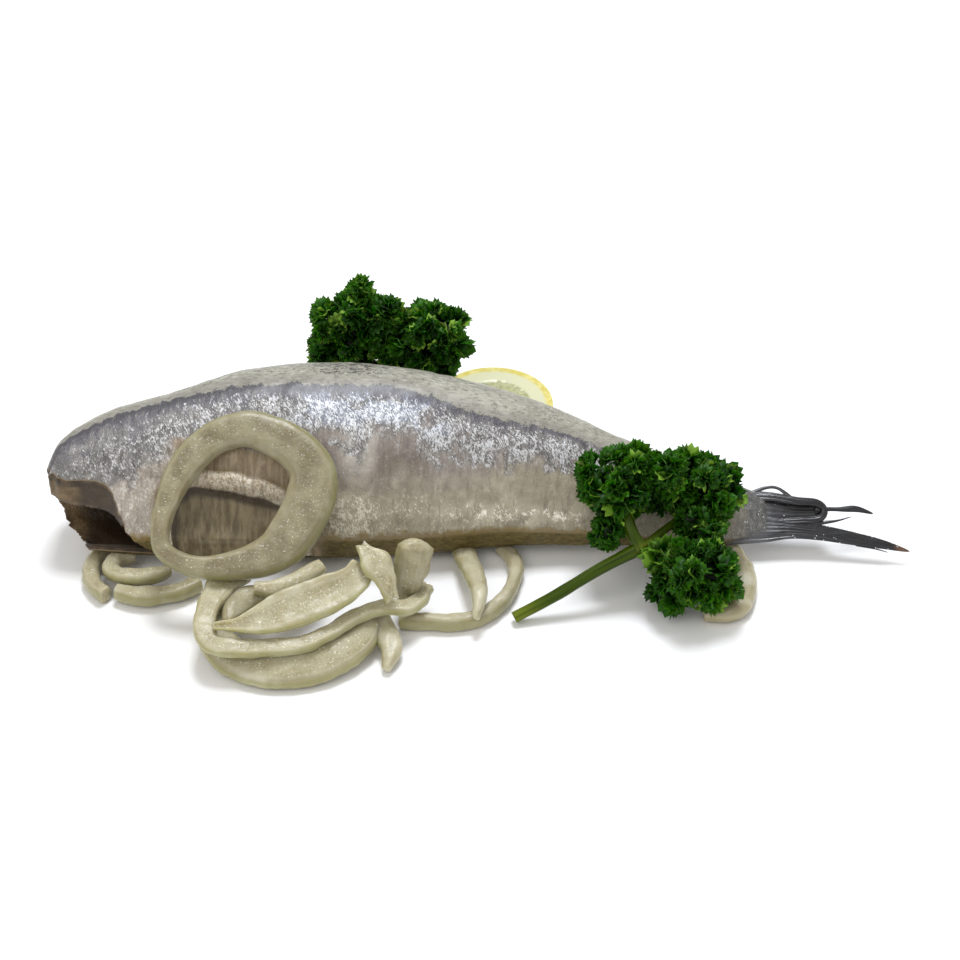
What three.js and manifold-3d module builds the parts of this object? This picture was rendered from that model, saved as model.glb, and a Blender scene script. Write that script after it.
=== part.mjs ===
// Salted herring: a gutted fish without its head, lying on its side over sliced onion,
// with two sprigs of curly parsley and a lemon slice.
//
// Millimetres and degrees, +Z up. The fish lies along X, cut neck at -X and tail at +X, and its
// belly faces -Y. The origin is on the surface it lies on, at the middle of the whole dish.
//
// The fish has its own measures: `along` runs from neck to tail, `rise` runs from belly to back,
// and `proud` stands out from its upper flank.

import * as THREE from 'three';
import { mergeVertices } from 'three/addons/utils/BufferGeometryUtils.js';
import Module from 'manifold-3d';

const wasm = await Module();
wasm.setup();

// ---------------------------------------------------------------- driving dimensions

const FISH_ROLL = 35; // how far the back is raised above a fish lying flat on its side
const TAIL_ROOT = 80;

// Stations along the fish: [along, measure].
const SPINE_HEIGHT = [[-120, 24], [-60, 21.4], [0, 19.6], [80, 19.4]];
const SPINE_BACK = [[-120, 0], [-60, 3.1], [0, 5.2], [80, 5.5]];
const BACK_LINE = [
  [-118.5, -3], [-116, 3.6], [-109, 9.7], [-100, 14], [-84, 18.7], [-67, 24.3], [-50, 26.9],
  [-31, 26.6], [-6, 22.5], [20, 14.4], [45, 3.2], [67, -5.8], [80, -11.4],
];
const BELLY_LINE = [
  [-120, -24.8], [-91, -27.4], [-64, -28.3], [-22, -27.4], [12, -24.8], [47, -25.2], [66, -25.5], [80, -22.6],
];
const HALF_THICKNESS = [
  [-118.5, 9.5], [-100, 12.5], [-70, 15], [-30, 15.5], [0, 13.5], [33, 9], [60, 5.4], [80, 1.8],
];

// The cut edge of each side at the neck: [degrees down from the back, along].
const NEAR_NECK_EDGE = [
  [0, -118.2], [54, -118.2], [72, -117], [84, -114.9], [90, -112.5], [96, -106.2], [102, -101.8], [110, -99.5],
  [126, -98], [144, -96], [156, -93.5], [168, -90.5], [180, -89],
];
const FAR_NECK_EDGE = [
  [0, -118.2], [54, -118], [85, -116], [103, -115], [124, -112], [154, -109], [180, -107],
];

const CAVITY_END = -62;
const CAVITY_ROOF = [[-120, -6.6], [-105, -6], [-85, -8], [-62, -12]];
const CAVITY_FLOOR = [[-120, -23.2], [-91, -25], [-62, -21]];
const FLAP_THICKNESS = 2.4;
const MEAT_FULLNESS = 0.22; // how much fuller the section is towards the back than at the belly
const FLANK_ROUNDNESS = 0.82;

// The belly wall sinks in where the gut was: a hollow under a fold of the flank.
const HOLLOW = { along: -66, rise: -18, reachAlong: 17, reachRise: 9, depth: 3.4 };
const FLAP_LIP = { angle: 152, depth: 1.3 }; // the upper flap's edge stands over the lower flap
const THINNEST_FLAP = 0.35; // the least that a sunken place keeps of its thickness

const ONION_GAP = 0.3;
const FLOOR = 0;

// The whole dish's middle, measured from the middle of the fish.
const DISH_MIDDLE = { x: 0.4, y: -2.3 };

// ---------------------------------------------------------------- shaping helpers

const radians = THREE.MathUtils.degToRad;
const FLANK_NORMAL = [0, -Math.sin(radians(FISH_ROLL)), Math.cos(radians(FISH_ROLL))];

/** A smooth line through [place, value] stations, flat beyond both ends. */
function stationLine(stations) {
  const slopes = stations.map((_, i) => {
    const before = stations[Math.max(i - 1, 0)];
    const after = stations[Math.min(i + 1, stations.length - 1)];
    return (after[1] - before[1]) / (after[0] - before[0]);
  });
  return (place) => {
    const last = stations.length - 1;
    if (place <= stations[0][0]) return stations[0][1];
    if (place >= stations[last][0]) return stations[last][1];
    const i = stations.findIndex((station) => station[0] > place) - 1;
    const span = stations[i + 1][0] - stations[i][0];
    const t = (place - stations[i][0]) / span;
    const rest = 1 - t;
    return (1 + 2 * t) * rest * rest * stations[i][1] + t * rest * rest * span * slopes[i]
      + t * t * (3 - 2 * t) * stations[i + 1][1] - t * t * rest * span * slopes[i + 1];
  };
}

/** Moves each vertex of a shape to where `place` puts it, closes the seams and faces it outwards. */
function reshape(shape, place) {
  const points = shape.attributes.position;
  const point = new THREE.Vector3();
  for (let i = 0; i < points.count; i += 1) {
    point.copy(place(point.fromBufferAttribute(points, i)));
    points.setXYZ(i, point.x, point.y, point.z);
  }
  shape.deleteAttribute('normal');
  shape.deleteAttribute('uv');
  const closed = mergeVertices(shape, 1e-3);
  return signedVolume(closed) < 0 ? turnedInsideOut(closed) : closed;
}

/** Six times the volume that a mesh's faces enclose, negative when they point inwards. */
function signedVolume(mesh) {
  const corner = [new THREE.Vector3(), new THREE.Vector3(), new THREE.Vector3()];
  let total = 0;
  for (let i = 0; i < mesh.index.count; i += 3) {
    corner.forEach((point, k) => point.fromBufferAttribute(mesh.attributes.position, mesh.index.getX(i + k)));
    total += corner[0].dot(corner[1].cross(corner[2]));
  }
  return total;
}

/** Reverses every triangle. */
function turnedInsideOut(mesh) {
  for (let i = 0; i < mesh.index.count; i += 3) {
    const second = mesh.index.getX(i + 1);
    mesh.index.setX(i + 1, mesh.index.getX(i + 2));
    mesh.index.setX(i + 2, second);
  }
  return mesh;
}

/** A closed mesh as a solid for joining and cutting. */
function toSolid(mesh) {
  return new wasm.Manifold(new wasm.Mesh({
    numProp: 3,
    vertProperties: new Float32Array(mesh.attributes.position.array),
    triVerts: new Uint32Array(mesh.index.array),
  }));
}

/** A solid as a mesh. */
function toMesh(solid) {
  const { vertProperties, triVerts } = solid.getMesh();
  const mesh = new THREE.BufferGeometry();
  mesh.setAttribute('position', new THREE.BufferAttribute(new Float32Array(vertProperties), 3));
  mesh.setIndex(new THREE.BufferAttribute(new Uint32Array(triVerts), 1));
  return mesh;
}

/** Several closed meshes joined into one solid. */
function joined(meshes) {
  return meshes.map(toSolid).reduce((whole, next) => whole.add(next));
}

/** A corner of a rounded square, from a point on the unit circle. */
function squared(value, roundness) {
  return Math.sign(value) * Math.abs(value) ** roundness;
}

/**
 * A strip or a ring with a rounded rectangular section along a route.
 * `wide` is across the route, `tall` is along `up`; either may be a list of sizes along the route.
 */
function strip({ route, wide, tall, up = [0, 0, 1], closed = false, steps = 12, roundness = 0.6 }, grow = 0) {
  const curve = new THREE.CatmullRomCurve3(route.map((point) => new THREE.Vector3(...point)), closed);
  const across = sizeAlong(wide);
  const along = sizeAlong(tall);
  const upward = new THREE.Vector3(...up).normalize();
  const sides = 8;
  const torusRadius = 2;
  const shape = closed
    ? new THREE.TorusGeometry(torusRadius, 1, sides, steps)
    : new THREE.CylinderGeometry(1, 1, 1, sides, steps);
  return reshape(shape, (point) => {
    let turn;
    let outward;
    let lift;
    if (closed) {
      turn = (Math.atan2(point.y, point.x) / (2 * Math.PI) + 1) % 1;
      outward = Math.hypot(point.x, point.y) - torusRadius;
      lift = point.z;
    } else {
      turn = point.y + 0.5;
      outward = point.x;
      lift = point.z;
    }
    const tangent = curve.getTangentAt(turn);
    const side = new THREE.Vector3().crossVectors(tangent, upward).normalize();
    const top = new THREE.Vector3().crossVectors(side, tangent);
    const endGrow = closed ? 0 : grow * (Math.sign(turn - 0.5)) * (turn === 0 || turn === 1 ? 1 : 0);
    return curve.getPointAt(turn)
      .addScaledVector(side, squared(outward, roundness) * (across(turn) / 2 + grow))
      .addScaledVector(top, squared(lift, roundness) * (along(turn) / 2 + grow))
      .addScaledVector(tangent, endGrow);
  });
}

/** The size at each share of a route, from one size or a list of evenly spaced ones. */
function sizeAlong(size) {
  if (!Array.isArray(size)) return () => size;
  return stationLine(size.map((value, i) => [i / (size.length - 1), value]));
}

// ---------------------------------------------------------------- the fish

const backLine = stationLine(BACK_LINE);
const bellyLine = stationLine(BELLY_LINE);
const halfThickness = stationLine(HALF_THICKNESS);
const spineHeight = stationLine(SPINE_HEIGHT);
const spineBack = stationLine(SPINE_BACK);
const nearNeckEdge = stationLine(NEAR_NECK_EDGE);
const farNeckEdge = stationLine(FAR_NECK_EDGE);
const cavityRoof = stationLine(CAVITY_ROOF);
const cavityFloor = stationLine(CAVITY_FLOOR);

/** A place on the fish in the dish's own directions. */
function onFish(along, rise, proud) {
  const roll = radians(FISH_ROLL);
  return new THREE.Vector3(
    along,
    spineBack(along) + rise * Math.cos(roll) - proud * Math.sin(roll),
    spineHeight(along) + rise * Math.sin(roll) + proud * Math.cos(roll),
  );
}

/** How far the upper flank is sunk at a place. */
function sunken(along, rise) {
  const awayAlong = (along - HOLLOW.along) / HOLLOW.reachAlong;
  const awayUp = (rise - HOLLOW.rise) / HOLLOW.reachRise;
  const away = awayAlong ** 2 + awayUp ** 2;
  return HOLLOW.depth * Math.exp(-(away ** 1.5));
}

/** A place on the skin: `angle` runs from the back, over the upper flank, to the belly and round. */
function skin(along, angle, grow) {
  const middle = (backLine(along) + bellyLine(along)) / 2;
  const half = (backLine(along) - bellyLine(along)) / 2 + grow;
  const rise = middle + half * Math.cos(angle);
  const fullness = 1 + MEAT_FULLNESS * Math.cos(angle);
  const edge = squared(Math.sin(angle), FLANK_ROUNDNESS);
  const upper = edge > 0;
  const degrees = THREE.MathUtils.radToDeg(angle);
  const lip = upper && degrees > FLAP_LIP.angle ? FLAP_LIP.depth : 0;
  const outside = (halfThickness(along) + grow) * fullness * edge;
  if (!upper) return { rise, proud: outside };
  return { rise, proud: Math.max(outside - sunken(along, rise) - lip, outside * THINNEST_FLAP) };
}

/** A place on the wall of the gut cavity. */
function cavityWall(along, angle) {
  const middle = (cavityRoof(along) + cavityFloor(along)) / 2;
  const half = (cavityRoof(along) - cavityFloor(along)) / 2;
  const rise = middle + half * Math.cos(angle);
  const outside = (halfThickness(along) - FLAP_THICKNESS) * (1 + MEAT_FULLNESS * Math.cos(angle)) * 0.86;
  const sink = Math.sin(angle) > 0 ? sunken(along, rise) : 0;
  return { rise, proud: outside * squared(Math.sin(angle), FLANK_ROUNDNESS) - sink };
}

/**
 * The body as one skin: from the tail along the outside to the cut neck, over its edge and back
 * along the cavity to its closed end.
 */
function fishBody(grow = 0) {
  const around = 28;
  const outsideRows = 26;
  const cavityRows = 8;
  const rows = outsideRows + cavityRows;
  return reshape(new THREE.CylinderGeometry(1, 1, rows, around, rows), (point) => {
    const row = Math.round(point.y + rows / 2);
    const hub = Math.hypot(point.x, point.z) < 0.5;
    const angle = (Math.atan2(point.x, point.z) + 2 * Math.PI) % (2 * Math.PI);
    const degrees = THREE.MathUtils.radToDeg(angle);
    const neck = degrees <= 180 ? nearNeckEdge(degrees) : farNeckEdge(360 - degrees);
    if (row <= outsideRows) {
      const share = row / outsideRows;
      const along = TAIL_ROOT + (neck - TAIL_ROOT) * share;
      const { rise, proud } = skin(along, angle, grow);
      const middle = (backLine(along) + bellyLine(along)) / 2;
      const place = hub ? onFish(along, middle, 0) : onFish(along, rise, proud);
      place.z = Math.max(place.z, FLOOR - grow);
      return place;
    }
    const share = (row - outsideRows) / cavityRows;
    const along = neck + (CAVITY_END - neck) * share ** 1.3;
    const { rise, proud } = cavityWall(along, angle);
    const middle = (cavityRoof(along) + cavityFloor(along)) / 2;
    const closing = Math.sqrt(1 - share ** 6 * 0.75);
    if (hub) return onFish(along, middle, 0);
    return onFish(along, middle + (rise - middle) * closing, proud * closing);
  });
}

// Lobes of the dried tail fin: route [along, rise, proud] and sizes along it.
const TAIL_LOBES = [
  {
    route: [[72, -17.5, 0], [86, -21, 0], [102, -23.4, 0.4], [119.6, -27, 0]],
    tall: [3.4, 2.4, 1.6, 1],
    wide: [13, 9, 4.2, 1.4],
  },
  {
    route: [[72, -14.5, 0], [83, -12.4, 0.4], [95, -14.8, 0.8], [109.5, -16.6, 0.4]],
    tall: [3.4, 2.6, 1.5, 0.9],
    wide: [9, 6.4, 4.2, 1],
  },
];

/** The fish with its tail fin. */
function fish(grow = 0) {
  const lobes = TAIL_LOBES.map(({ route, tall, wide }) => strip({
    route: route.map(([along, rise, proud]) => onFish(along, rise, proud).toArray()),
    up: FLANK_NORMAL,
    tall,
    wide,
    steps: 8,
  }, grow));
  return joined([fishBody(grow), ...lobes]);
}

// ---------------------------------------------------------------- the onion

// The ring on the flank, round from the tail side over the back: [along, rise, wall].
const FLANK_RING = [
  [-45, -14, 13.5], [-49.1, -3.5, 11.5], [-62.6, 2.9, 9.4], [-75, -2.2, 8.5], [-82.9, -15.1, 5.6],
  [-84.5, -30.2, 5.2], [-71.3, -35.6, 8.1], [-53.7, -30.4, 12.7],
];
const FLANK_RING_PROUD = 18.6;
const FLANK_RING_DEPTH = 7;

/** The big ring that leans on the flank. */
function flankRing(grow = 0) {
  const walls = FLANK_RING.map(([, , wall]) => wall);
  return strip({
    route: FLANK_RING.map(([along, rise]) => onFish(along, rise, FLANK_RING_PROUD).toArray()),
    wide: [...walls, walls[0]],
    tall: FLANK_RING_DEPTH,
    up: FLANK_NORMAL,
    closed: true,
    steps: 32,
    roundness: 0.7,
  }, grow);
}

// The loose strips, from the floor up, each along the middle of its layer.
const ONION_STRIPS = {
  onion_arc_front: {
    route: [
      [-68, -36, 7.4], [-73, -45, 6.4], [-72, -54.8, 4.2], [-64.4, -61.8, 3.1], [-53, -64.6, 3],
      [-41.4, -61.8, 3], [-31.2, -54, 3.2], [-27.4, -45, 3.4],
    ],
    wide: [5, 7, 8, 9, 9, 9, 8, 5],
    tall: 6,
    steps: 16,
  },
  onion_arc_upper: {
    route: [
      [-66.2, -33, 11.2], [-70, -41.8, 12.2], [-71.8, -49, 12], [-71.9, -55, 11], [-69.5, -59.4, 10],
      [-62.1, -60.4, 9.6], [-54.1, -60, 9.4], [-45.6, -58.4, 9.4], [-38.4, -53.7, 9.6], [-33.2, -49, 10],
      [-26.3, -46, 10.4], [-19.8, -44.7, 9.6],
      [-16.4, -40.6, 8.4], [-14.6, -34.7, 7.4],
    ],
    wide: [9, 7.4, 6.4, 6, 6, 5.6, 5.4, 5, 4.6, 4.4, 4.4, 4.6, 4.8, 4.8],
    tall: 4.2,
    steps: 28,
  },
  onion_crescent: {
    route: [
      [-69, -56, 13.4], [-62.1, -56, 14], [-54.2, -54, 15], [-46.4, -50.6, 16], [-38.4, -47, 17.2],
      [-33.1, -43.8, 18.6], [-30.8, -40.4, 20],
    ],
    wide: [2, 5, 9, 10, 9.4, 8.4, 6.4],
    tall: [2.4, 3, 4, 4.4, 4.4, 4.2, 4],
    up: [0.1, -0.3, 0.95],
    steps: 14,
  },
  onion_arc_inner: {
    route: [[-66.6, -50.6, 9.4], [-65, -46, 10], [-61.8, -42.8, 10.8], [-57.4, -42, 11.2]],
    wide: [3, 6.4, 7, 5],
    tall: 3.6,
    up: [0.1, -0.4, 0.9],
    steps: 8,
  },
  onion_strip_short: {
    route: [
      [-59.5, -43, 14.6], [-55.1, -43.2, 14.4], [-50.9, -41.4, 14.4], [-46.2, -37.6, 14.4],
      [-42.6, -34, 14.4],
    ],
    wide: [3, 4.6, 4.8, 4.8, 4.4],
    tall: 3.8,
    up: [0.1, -0.4, 0.9],
    steps: 8,
  },
  onion_flap_torn: {
    route: [[-30.8, -37.5, 24.6], [-28, -41, 23], [-25.2, -44.4, 19.6], [-23.2, -47, 15.4]],
    wide: [3, 8.4, 7.6, 4.5],
    tall: 3,
    up: [0.2, -0.6, 0.8],
    steps: 8,
  },
  onion_stub_upright: {
    route: [[-17.4, -33.4, 21], [-18, -35.2, 17.6], [-19.2, -36.8, 12.6], [-20.4, -37.6, 6]],
    wide: [9.6, 9.4, 7.4, 4.6],
    tall: [6.2, 6.6, 5.6, 4.4],
    up: [0, -0.9, 0.2],
    steps: 6,
  },
  onion_stub_front: {
    route: [[-27.2, -43, 5.8], [-25.6, -48.6, 4.6], [-23.4, -54, 3.4], [-24.6, -60.2, 2]],
    wide: [5.6, 6.6, 6, 2.6],
    tall: [3.4, 4, 4, 3],
    steps: 8,
  },
  onion_loop_floor: {
    route: [
      [-21.4, -42.6, 2.6], [-15, -43.2, 2.6], [-6.4, -43.2, 2.6], [0.4, -41, 2.6], [5.4, -35.9, 2.6],
      [8.6, -29.8, 2.6],
      [9.8, -22.9, 2.6], [8.7, -17.2, 2.4], [6.4, -12.8, 2],
    ],
    wide: [4, 4, 4.2, 4.2, 4, 4, 4.2, 4.6, 4.8],
    tall: [5, 5, 5, 5, 5, 5, 4.6, 4, 3.2],
    steps: 18,
  },
  onion_strip_belly: {
    route: [
      [-4.6, -14.6, 2.6], [-3.6, -20.6, 4.6], [-1.6, -29.4, 7.2], [-0.3, -36.6, 8.2], [-0.3, -42, 7.6],
      [-1, -45, 5.8],
    ],
    wide: [6.8, 6.6, 5.8, 5.4, 4.4, 2.4],
    tall: 4,
    steps: 10,
  },
  onion_loop_neck: {
    route: [
      [-100.6, -13.4, 2.6], [-105, -16.4, 2.6], [-106.9, -20.6, 2.6], [-106.6, -25.4, 2.6],
      [-104.8, -29.8, 2.6], [-101.8, -32.8, 2.6],
    ],
    wide: [4, 4.2, 4.6, 4.8, 4.8, 4],
    tall: 5,
    steps: 10,
  },
  onion_strip_neck: {
    route: [
      [-96.4, -18, 4.2], [-100, -20.6, 4.6], [-101.2, -24.6, 5], [-98.8, -27.4, 5.2], [-94.4, -28.2, 5.2],
      [-89.4, -27.4, 5], [-85, -25.2, 4.6],
    ],
    wide: [4.4, 4.8, 5, 5, 5, 4.4, 2.6],
    tall: 4,
    steps: 14,
  },
  onion_strip_neck_front: {
    route: [[-98.8, -31.8, 3.2], [-92.9, -33.6, 3], [-87, -33.3, 3], [-81.7, -31.4, 3], [-76.6, -28.4, 3.2]],
    wide: [4, 5.2, 5.2, 5, 4.4],
    tall: 4.6,
    steps: 10,
  },
  onion_arc_tail: {
    route: [
      [67, -9.5, 2.6], [70.8, -16.6, 2.6], [72.6, -23.5, 2.6], [72.6, -30.4, 2.6], [70.6, -36.2, 2.6],
      [66.6, -39.6, 2.6], [60.5, -40.2, 2.6],
    ],
    wide: [5, 5.8, 6, 6, 6, 5.6, 4],
    tall: 4.6,
    steps: 14,
  },
};

// ---------------------------------------------------------------- parsley and lemon

/** A curly head of parsley out to its uneven outline. */
function parsleyHead({ at, reach }, grow = 0) {
  const detail = 3;
  const lobes = 4.2;
  return reshape(new THREE.IcosahedronGeometry(1, detail), (point) => {
    const across = Math.sin(point.x * lobes + at[0]) * Math.sin(point.y * lobes + at[1]);
    const uneven = across * Math.sin(point.z * lobes + 1);
    point.normalize().multiplyScalar(1 + 0.16 * uneven);
    point.set(point.x * (reach[0] + grow), point.y * (reach[1] + grow), point.z * (reach[2] + grow));
    point.add(new THREE.Vector3(...at));
    point.z = Math.max(point.z, FLOOR - grow);
    return point;
  });
}

// Each sprig: heads by middle and reach, stems by route and thickness.
const PARSLEY_SPRIGS = {
  parsley_sprig_front: {
    heads: [
      { at: [38.4, -15.4, 26.6], reach: [13, 11, 12.4] },
      { at: [59.6, -12.4, 22.6], reach: [12.6, 11, 11.4] },
      { at: [57, -35.6, 12.4], reach: [14.2, 12, 12.2] },
      { at: [34.6, -25, 18.4], reach: [6.6, 5.6, 6.6] },
      { at: [61, -24, 18], reach: [8, 6.4, 6] },
    ],
    stems: [
      { route: [[9.2, -41, 2.2], [20.4, -37.6, 6], [32, -33.8, 11.6], [44.2, -29.6, 17.8]], wide: [4.2, 3.8, 3.8, 4.6] },
      { route: [[43, -31, 17], [40, -27, 21], [38.6, -22, 24]], wide: [4, 3, 3] },
      { route: [[43.4, -31, 17], [51, -25, 19], [58, -19, 20]], wide: [4, 3, 3] },
      { route: [[43.4, -31, 17], [49, -33, 15], [55, -35, 13]], wide: [4, 3, 3] },
    ],
  },
  parsley_sprig_back: {
    heads: [
      { at: [-37, 47, 36.4], reach: [12.8, 11.6, 13.4] },
      { at: [-13.2, 45.6, 32.8], reach: [11.6, 11, 12.4] },
      { at: [-26, 46.4, 13.4], reach: [14.6, 10.4, 14] },
      { at: [-33.6, 47, 45.6], reach: [4.6, 4.2, 4.8] },
    ],
    stems: [
      { route: [[-26, 47, 12], [-33, 48, 22], [-37, 47, 34]], wide: [4, 3, 3] },
      { route: [[-26, 47, 12], [-19, 47, 21], [-13.4, 46, 30]], wide: [4, 3, 3] },
      { route: [[-28, 47, 8], [-44, 42, 3.4], [-60, 37, 2], [-74, 34, 2]], wide: [4, 3.6, 3.6, 4] },
    ],
  },
};

/** A sprig of curly parsley with its stems. */
function parsleySprig({ heads, stems }, grow = 0) {
  const stemMeshes = stems.map(
    ({ route, wide }) => strip({ route, wide, tall: wide, steps: 6, roundness: 1 }, grow),
  );
  return joined([...heads.map((head) => parsleyHead(head, grow)), ...stemMeshes]);
}

const LEMON = { at: [4, 46.5, 3.6], radius: 18, thick: 7, bevel: 1.2 };

/** A thick round slice of lemon, lying flat. */
function lemonSlice(grow = 0) {
  const { at, radius, thick, bevel } = LEMON;
  const half = thick / 2 + grow;
  const reach = radius + grow;
  const profile = [[0, -half], [reach - bevel, -half], [reach, 0], [reach - bevel, half], [0, half]];
  const outline = profile.map(([across, height]) => new THREE.Vector2(across, height));
  const slice = new THREE.LatheGeometry(outline, 40);
  return reshape(slice, (point) => new THREE.Vector3(point.x + at[0], point.z + at[1], point.y + at[2] - 0.1));
}

// ---------------------------------------------------------------- the dish

const SILVER_SKIN = { color: 0x9c9a93, roughness: 0.38, metalness: 0.55 };
const WET_ONION = { color: 0xb5ae8e, roughness: 0.3, metalness: 0 };
const PARSLEY_GREEN = { color: 0x1c390c, roughness: 0.55, metalness: 0 };
const LEMON_YELLOW = { color: 0xdcd892, roughness: 0.45, metalness: 0 };

// Later pieces lie against earlier ones and are cut back to leave a hair of room.
const PIECES = [
  { name: 'herring', make: fish, finish: SILVER_SKIN },
  { name: 'onion_ring_flank', make: (grow) => toSolid(flankRing(grow)), finish: WET_ONION },
  ...Object.entries(ONION_STRIPS).map(([name, sizes]) => (
    { name, make: (grow) => toSolid(strip(sizes, grow)), finish: WET_ONION }
  )),
  ...Object.entries(PARSLEY_SPRIGS).map(([name, sprig]) => (
    { name, make: (grow) => parsleySprig(sprig, grow), finish: PARSLEY_GREEN }
  )),
  { name: 'lemon_slice', make: (grow) => toSolid(lemonSlice(grow)), finish: LEMON_YELLOW },
];

const dish = new THREE.Group();
const laid = [];
PIECES.forEach(({ name, make, finish }) => {
  const solid = laid.reduce((piece, neighbour) => piece.subtract(neighbour), make(0));
  laid.push(make(ONION_GAP));
  const mesh = new THREE.Mesh(toMesh(solid), new THREE.MeshStandardMaterial(finish));
  mesh.name = name;
  dish.add(mesh);
});
dish.position.set(-DISH_MIDDLE.x, -DISH_MIDDLE.y, 0);

export default dish;
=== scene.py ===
"""A salted herring without its head on sliced onion, with curly parsley and a lemon slice."""

import logging
import math
import random
from collections.abc import Callable, Sequence
from dataclasses import dataclass, field
from enum import Enum

import bmesh
import bpy
from mathutils import Matrix, Vector, noise


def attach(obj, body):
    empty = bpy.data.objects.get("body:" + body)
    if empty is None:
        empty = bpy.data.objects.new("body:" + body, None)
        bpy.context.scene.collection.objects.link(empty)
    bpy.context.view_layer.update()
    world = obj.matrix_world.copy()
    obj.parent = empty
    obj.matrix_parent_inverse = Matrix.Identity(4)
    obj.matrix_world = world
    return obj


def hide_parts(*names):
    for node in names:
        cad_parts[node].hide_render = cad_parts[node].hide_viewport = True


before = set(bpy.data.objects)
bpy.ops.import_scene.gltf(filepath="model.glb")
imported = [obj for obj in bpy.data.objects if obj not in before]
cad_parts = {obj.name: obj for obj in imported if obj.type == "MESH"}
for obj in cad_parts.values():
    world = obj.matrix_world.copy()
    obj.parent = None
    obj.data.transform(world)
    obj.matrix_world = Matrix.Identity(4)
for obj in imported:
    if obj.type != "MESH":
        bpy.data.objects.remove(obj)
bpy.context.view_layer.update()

log = logging.getLogger("herring")

MM = 0.001
BODY = "root"

# Both in millimetres: points closer than WELD are one, and none lies lower than LOWEST.
WELD = 0.004
LOWEST = 0.05

# The middle of the whole dish, measured from the middle of the fish, in millimetres.
DISH_MIDDLE = Vector((0.4, -2.3, 0.0))

Piece = bpy.types.Object
Finish = bpy.types.Material
Socket = bpy.types.NodeSocket
Colour = str | Socket
Spot = tuple[float, float, float]
Place = Callable[[float, float], Vector]
Marks = Callable[[float, float], Sequence[float]]


class Slot(Enum):
    """The record's material slots."""

    SKIN = "herring_skin"
    ONION = "onion"
    PARSLEY = "parsley"
    LEMON = "lemon"


# ------------------------------------------------------------------ measures and small helpers


def linear(hex_colour: str) -> tuple[float, float, float, float]:
    """Turns an sRGB hex colour into the linear colour that shaders work in.

    Args:
        hex_colour: six hex digits, with or without a leading #.

    Returns:
        Linear red, green and blue, and an alpha of 1.
    """
    digits = hex_colour.lstrip("#")
    channels = [int(digits[i:i + 2], 16) / 255 for i in (0, 2, 4)]
    curved = [c / 12.92 if c <= 0.04045 else ((c + 0.055) / 1.055) ** 2.4 for c in channels]
    return (*curved, 1.0)


def per_mm(size: float) -> float:
    """The texture scale that gives features about `size` millimetres across on Object coordinates."""
    return 1 / (size * MM)


def clamp(value: float, low: float = 0.0, high: float = 1.0) -> float:
    """Keeps a value between two limits."""
    return max(low, min(high, value))


def smooth(low: float, high: float, value: float) -> float:
    """Rises smoothly from 0 at `low` to 1 at `high`; `low` may be the larger."""
    t = clamp((value - low) / (high - low))
    return t * t * (3 - 2 * t)


def squared(value: float, roundness: float) -> float:
    """A point on a rounded square, from one on the unit circle."""
    return math.copysign(abs(value) ** roundness, value)


def random_way(draw: random.Random) -> Vector:
    """A random direction with a random length of about 1."""
    return Vector((draw.gauss(0, 0.6), draw.gauss(0, 0.6), draw.gauss(0, 0.6)))


def rough(point: Vector, size: float, octaves: int = 3) -> float:
    """Smooth unevenness of about -1 to 1 with bumps of `size` millimetres, at a place in millimetres."""
    return noise.fractal(point / size, 0.9, 2.1, octaves)


@dataclass(frozen=True)
class StationLine:
    """A smooth line through (place, value) stations, level beyond both ends."""

    stations: tuple[tuple[float, float], ...]

    def __call__(self, place: float) -> float:
        """Reads the line.

        Args:
            place: where along the line.

        Returns:
            The value there.
        """
        points = self.stations
        last = len(points) - 1
        if place <= points[0][0]:
            return points[0][1]
        if place >= points[last][0]:
            return points[last][1]
        i = next(k for k in range(last) if points[k + 1][0] > place)
        span = points[i + 1][0] - points[i][0]
        t = (place - points[i][0]) / span
        rest = 1 - t
        return ((1 + 2 * t) * rest * rest * points[i][1] + t * rest * rest * span * self._slope(i)
                + t * t * (3 - 2 * t) * points[i + 1][1] - t * t * rest * span * self._slope(i + 1))

    def _slope(self, i: int) -> float:
        """The slope at a station, from the stations on both sides of it.

        Args:
            i: the station's number.

        Returns:
            The slope.
        """
        before = self.stations[max(i - 1, 0)]
        after = self.stations[min(i + 1, len(self.stations) - 1)]
        return (after[1] - before[1]) / (after[0] - before[0])


def along_route(sizes: Sequence[float]) -> StationLine:
    """A line through evenly spaced sizes, read from 0 to 1."""
    return StationLine(tuple((i / (len(sizes) - 1), size) for i, size in enumerate(sizes)))


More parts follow.
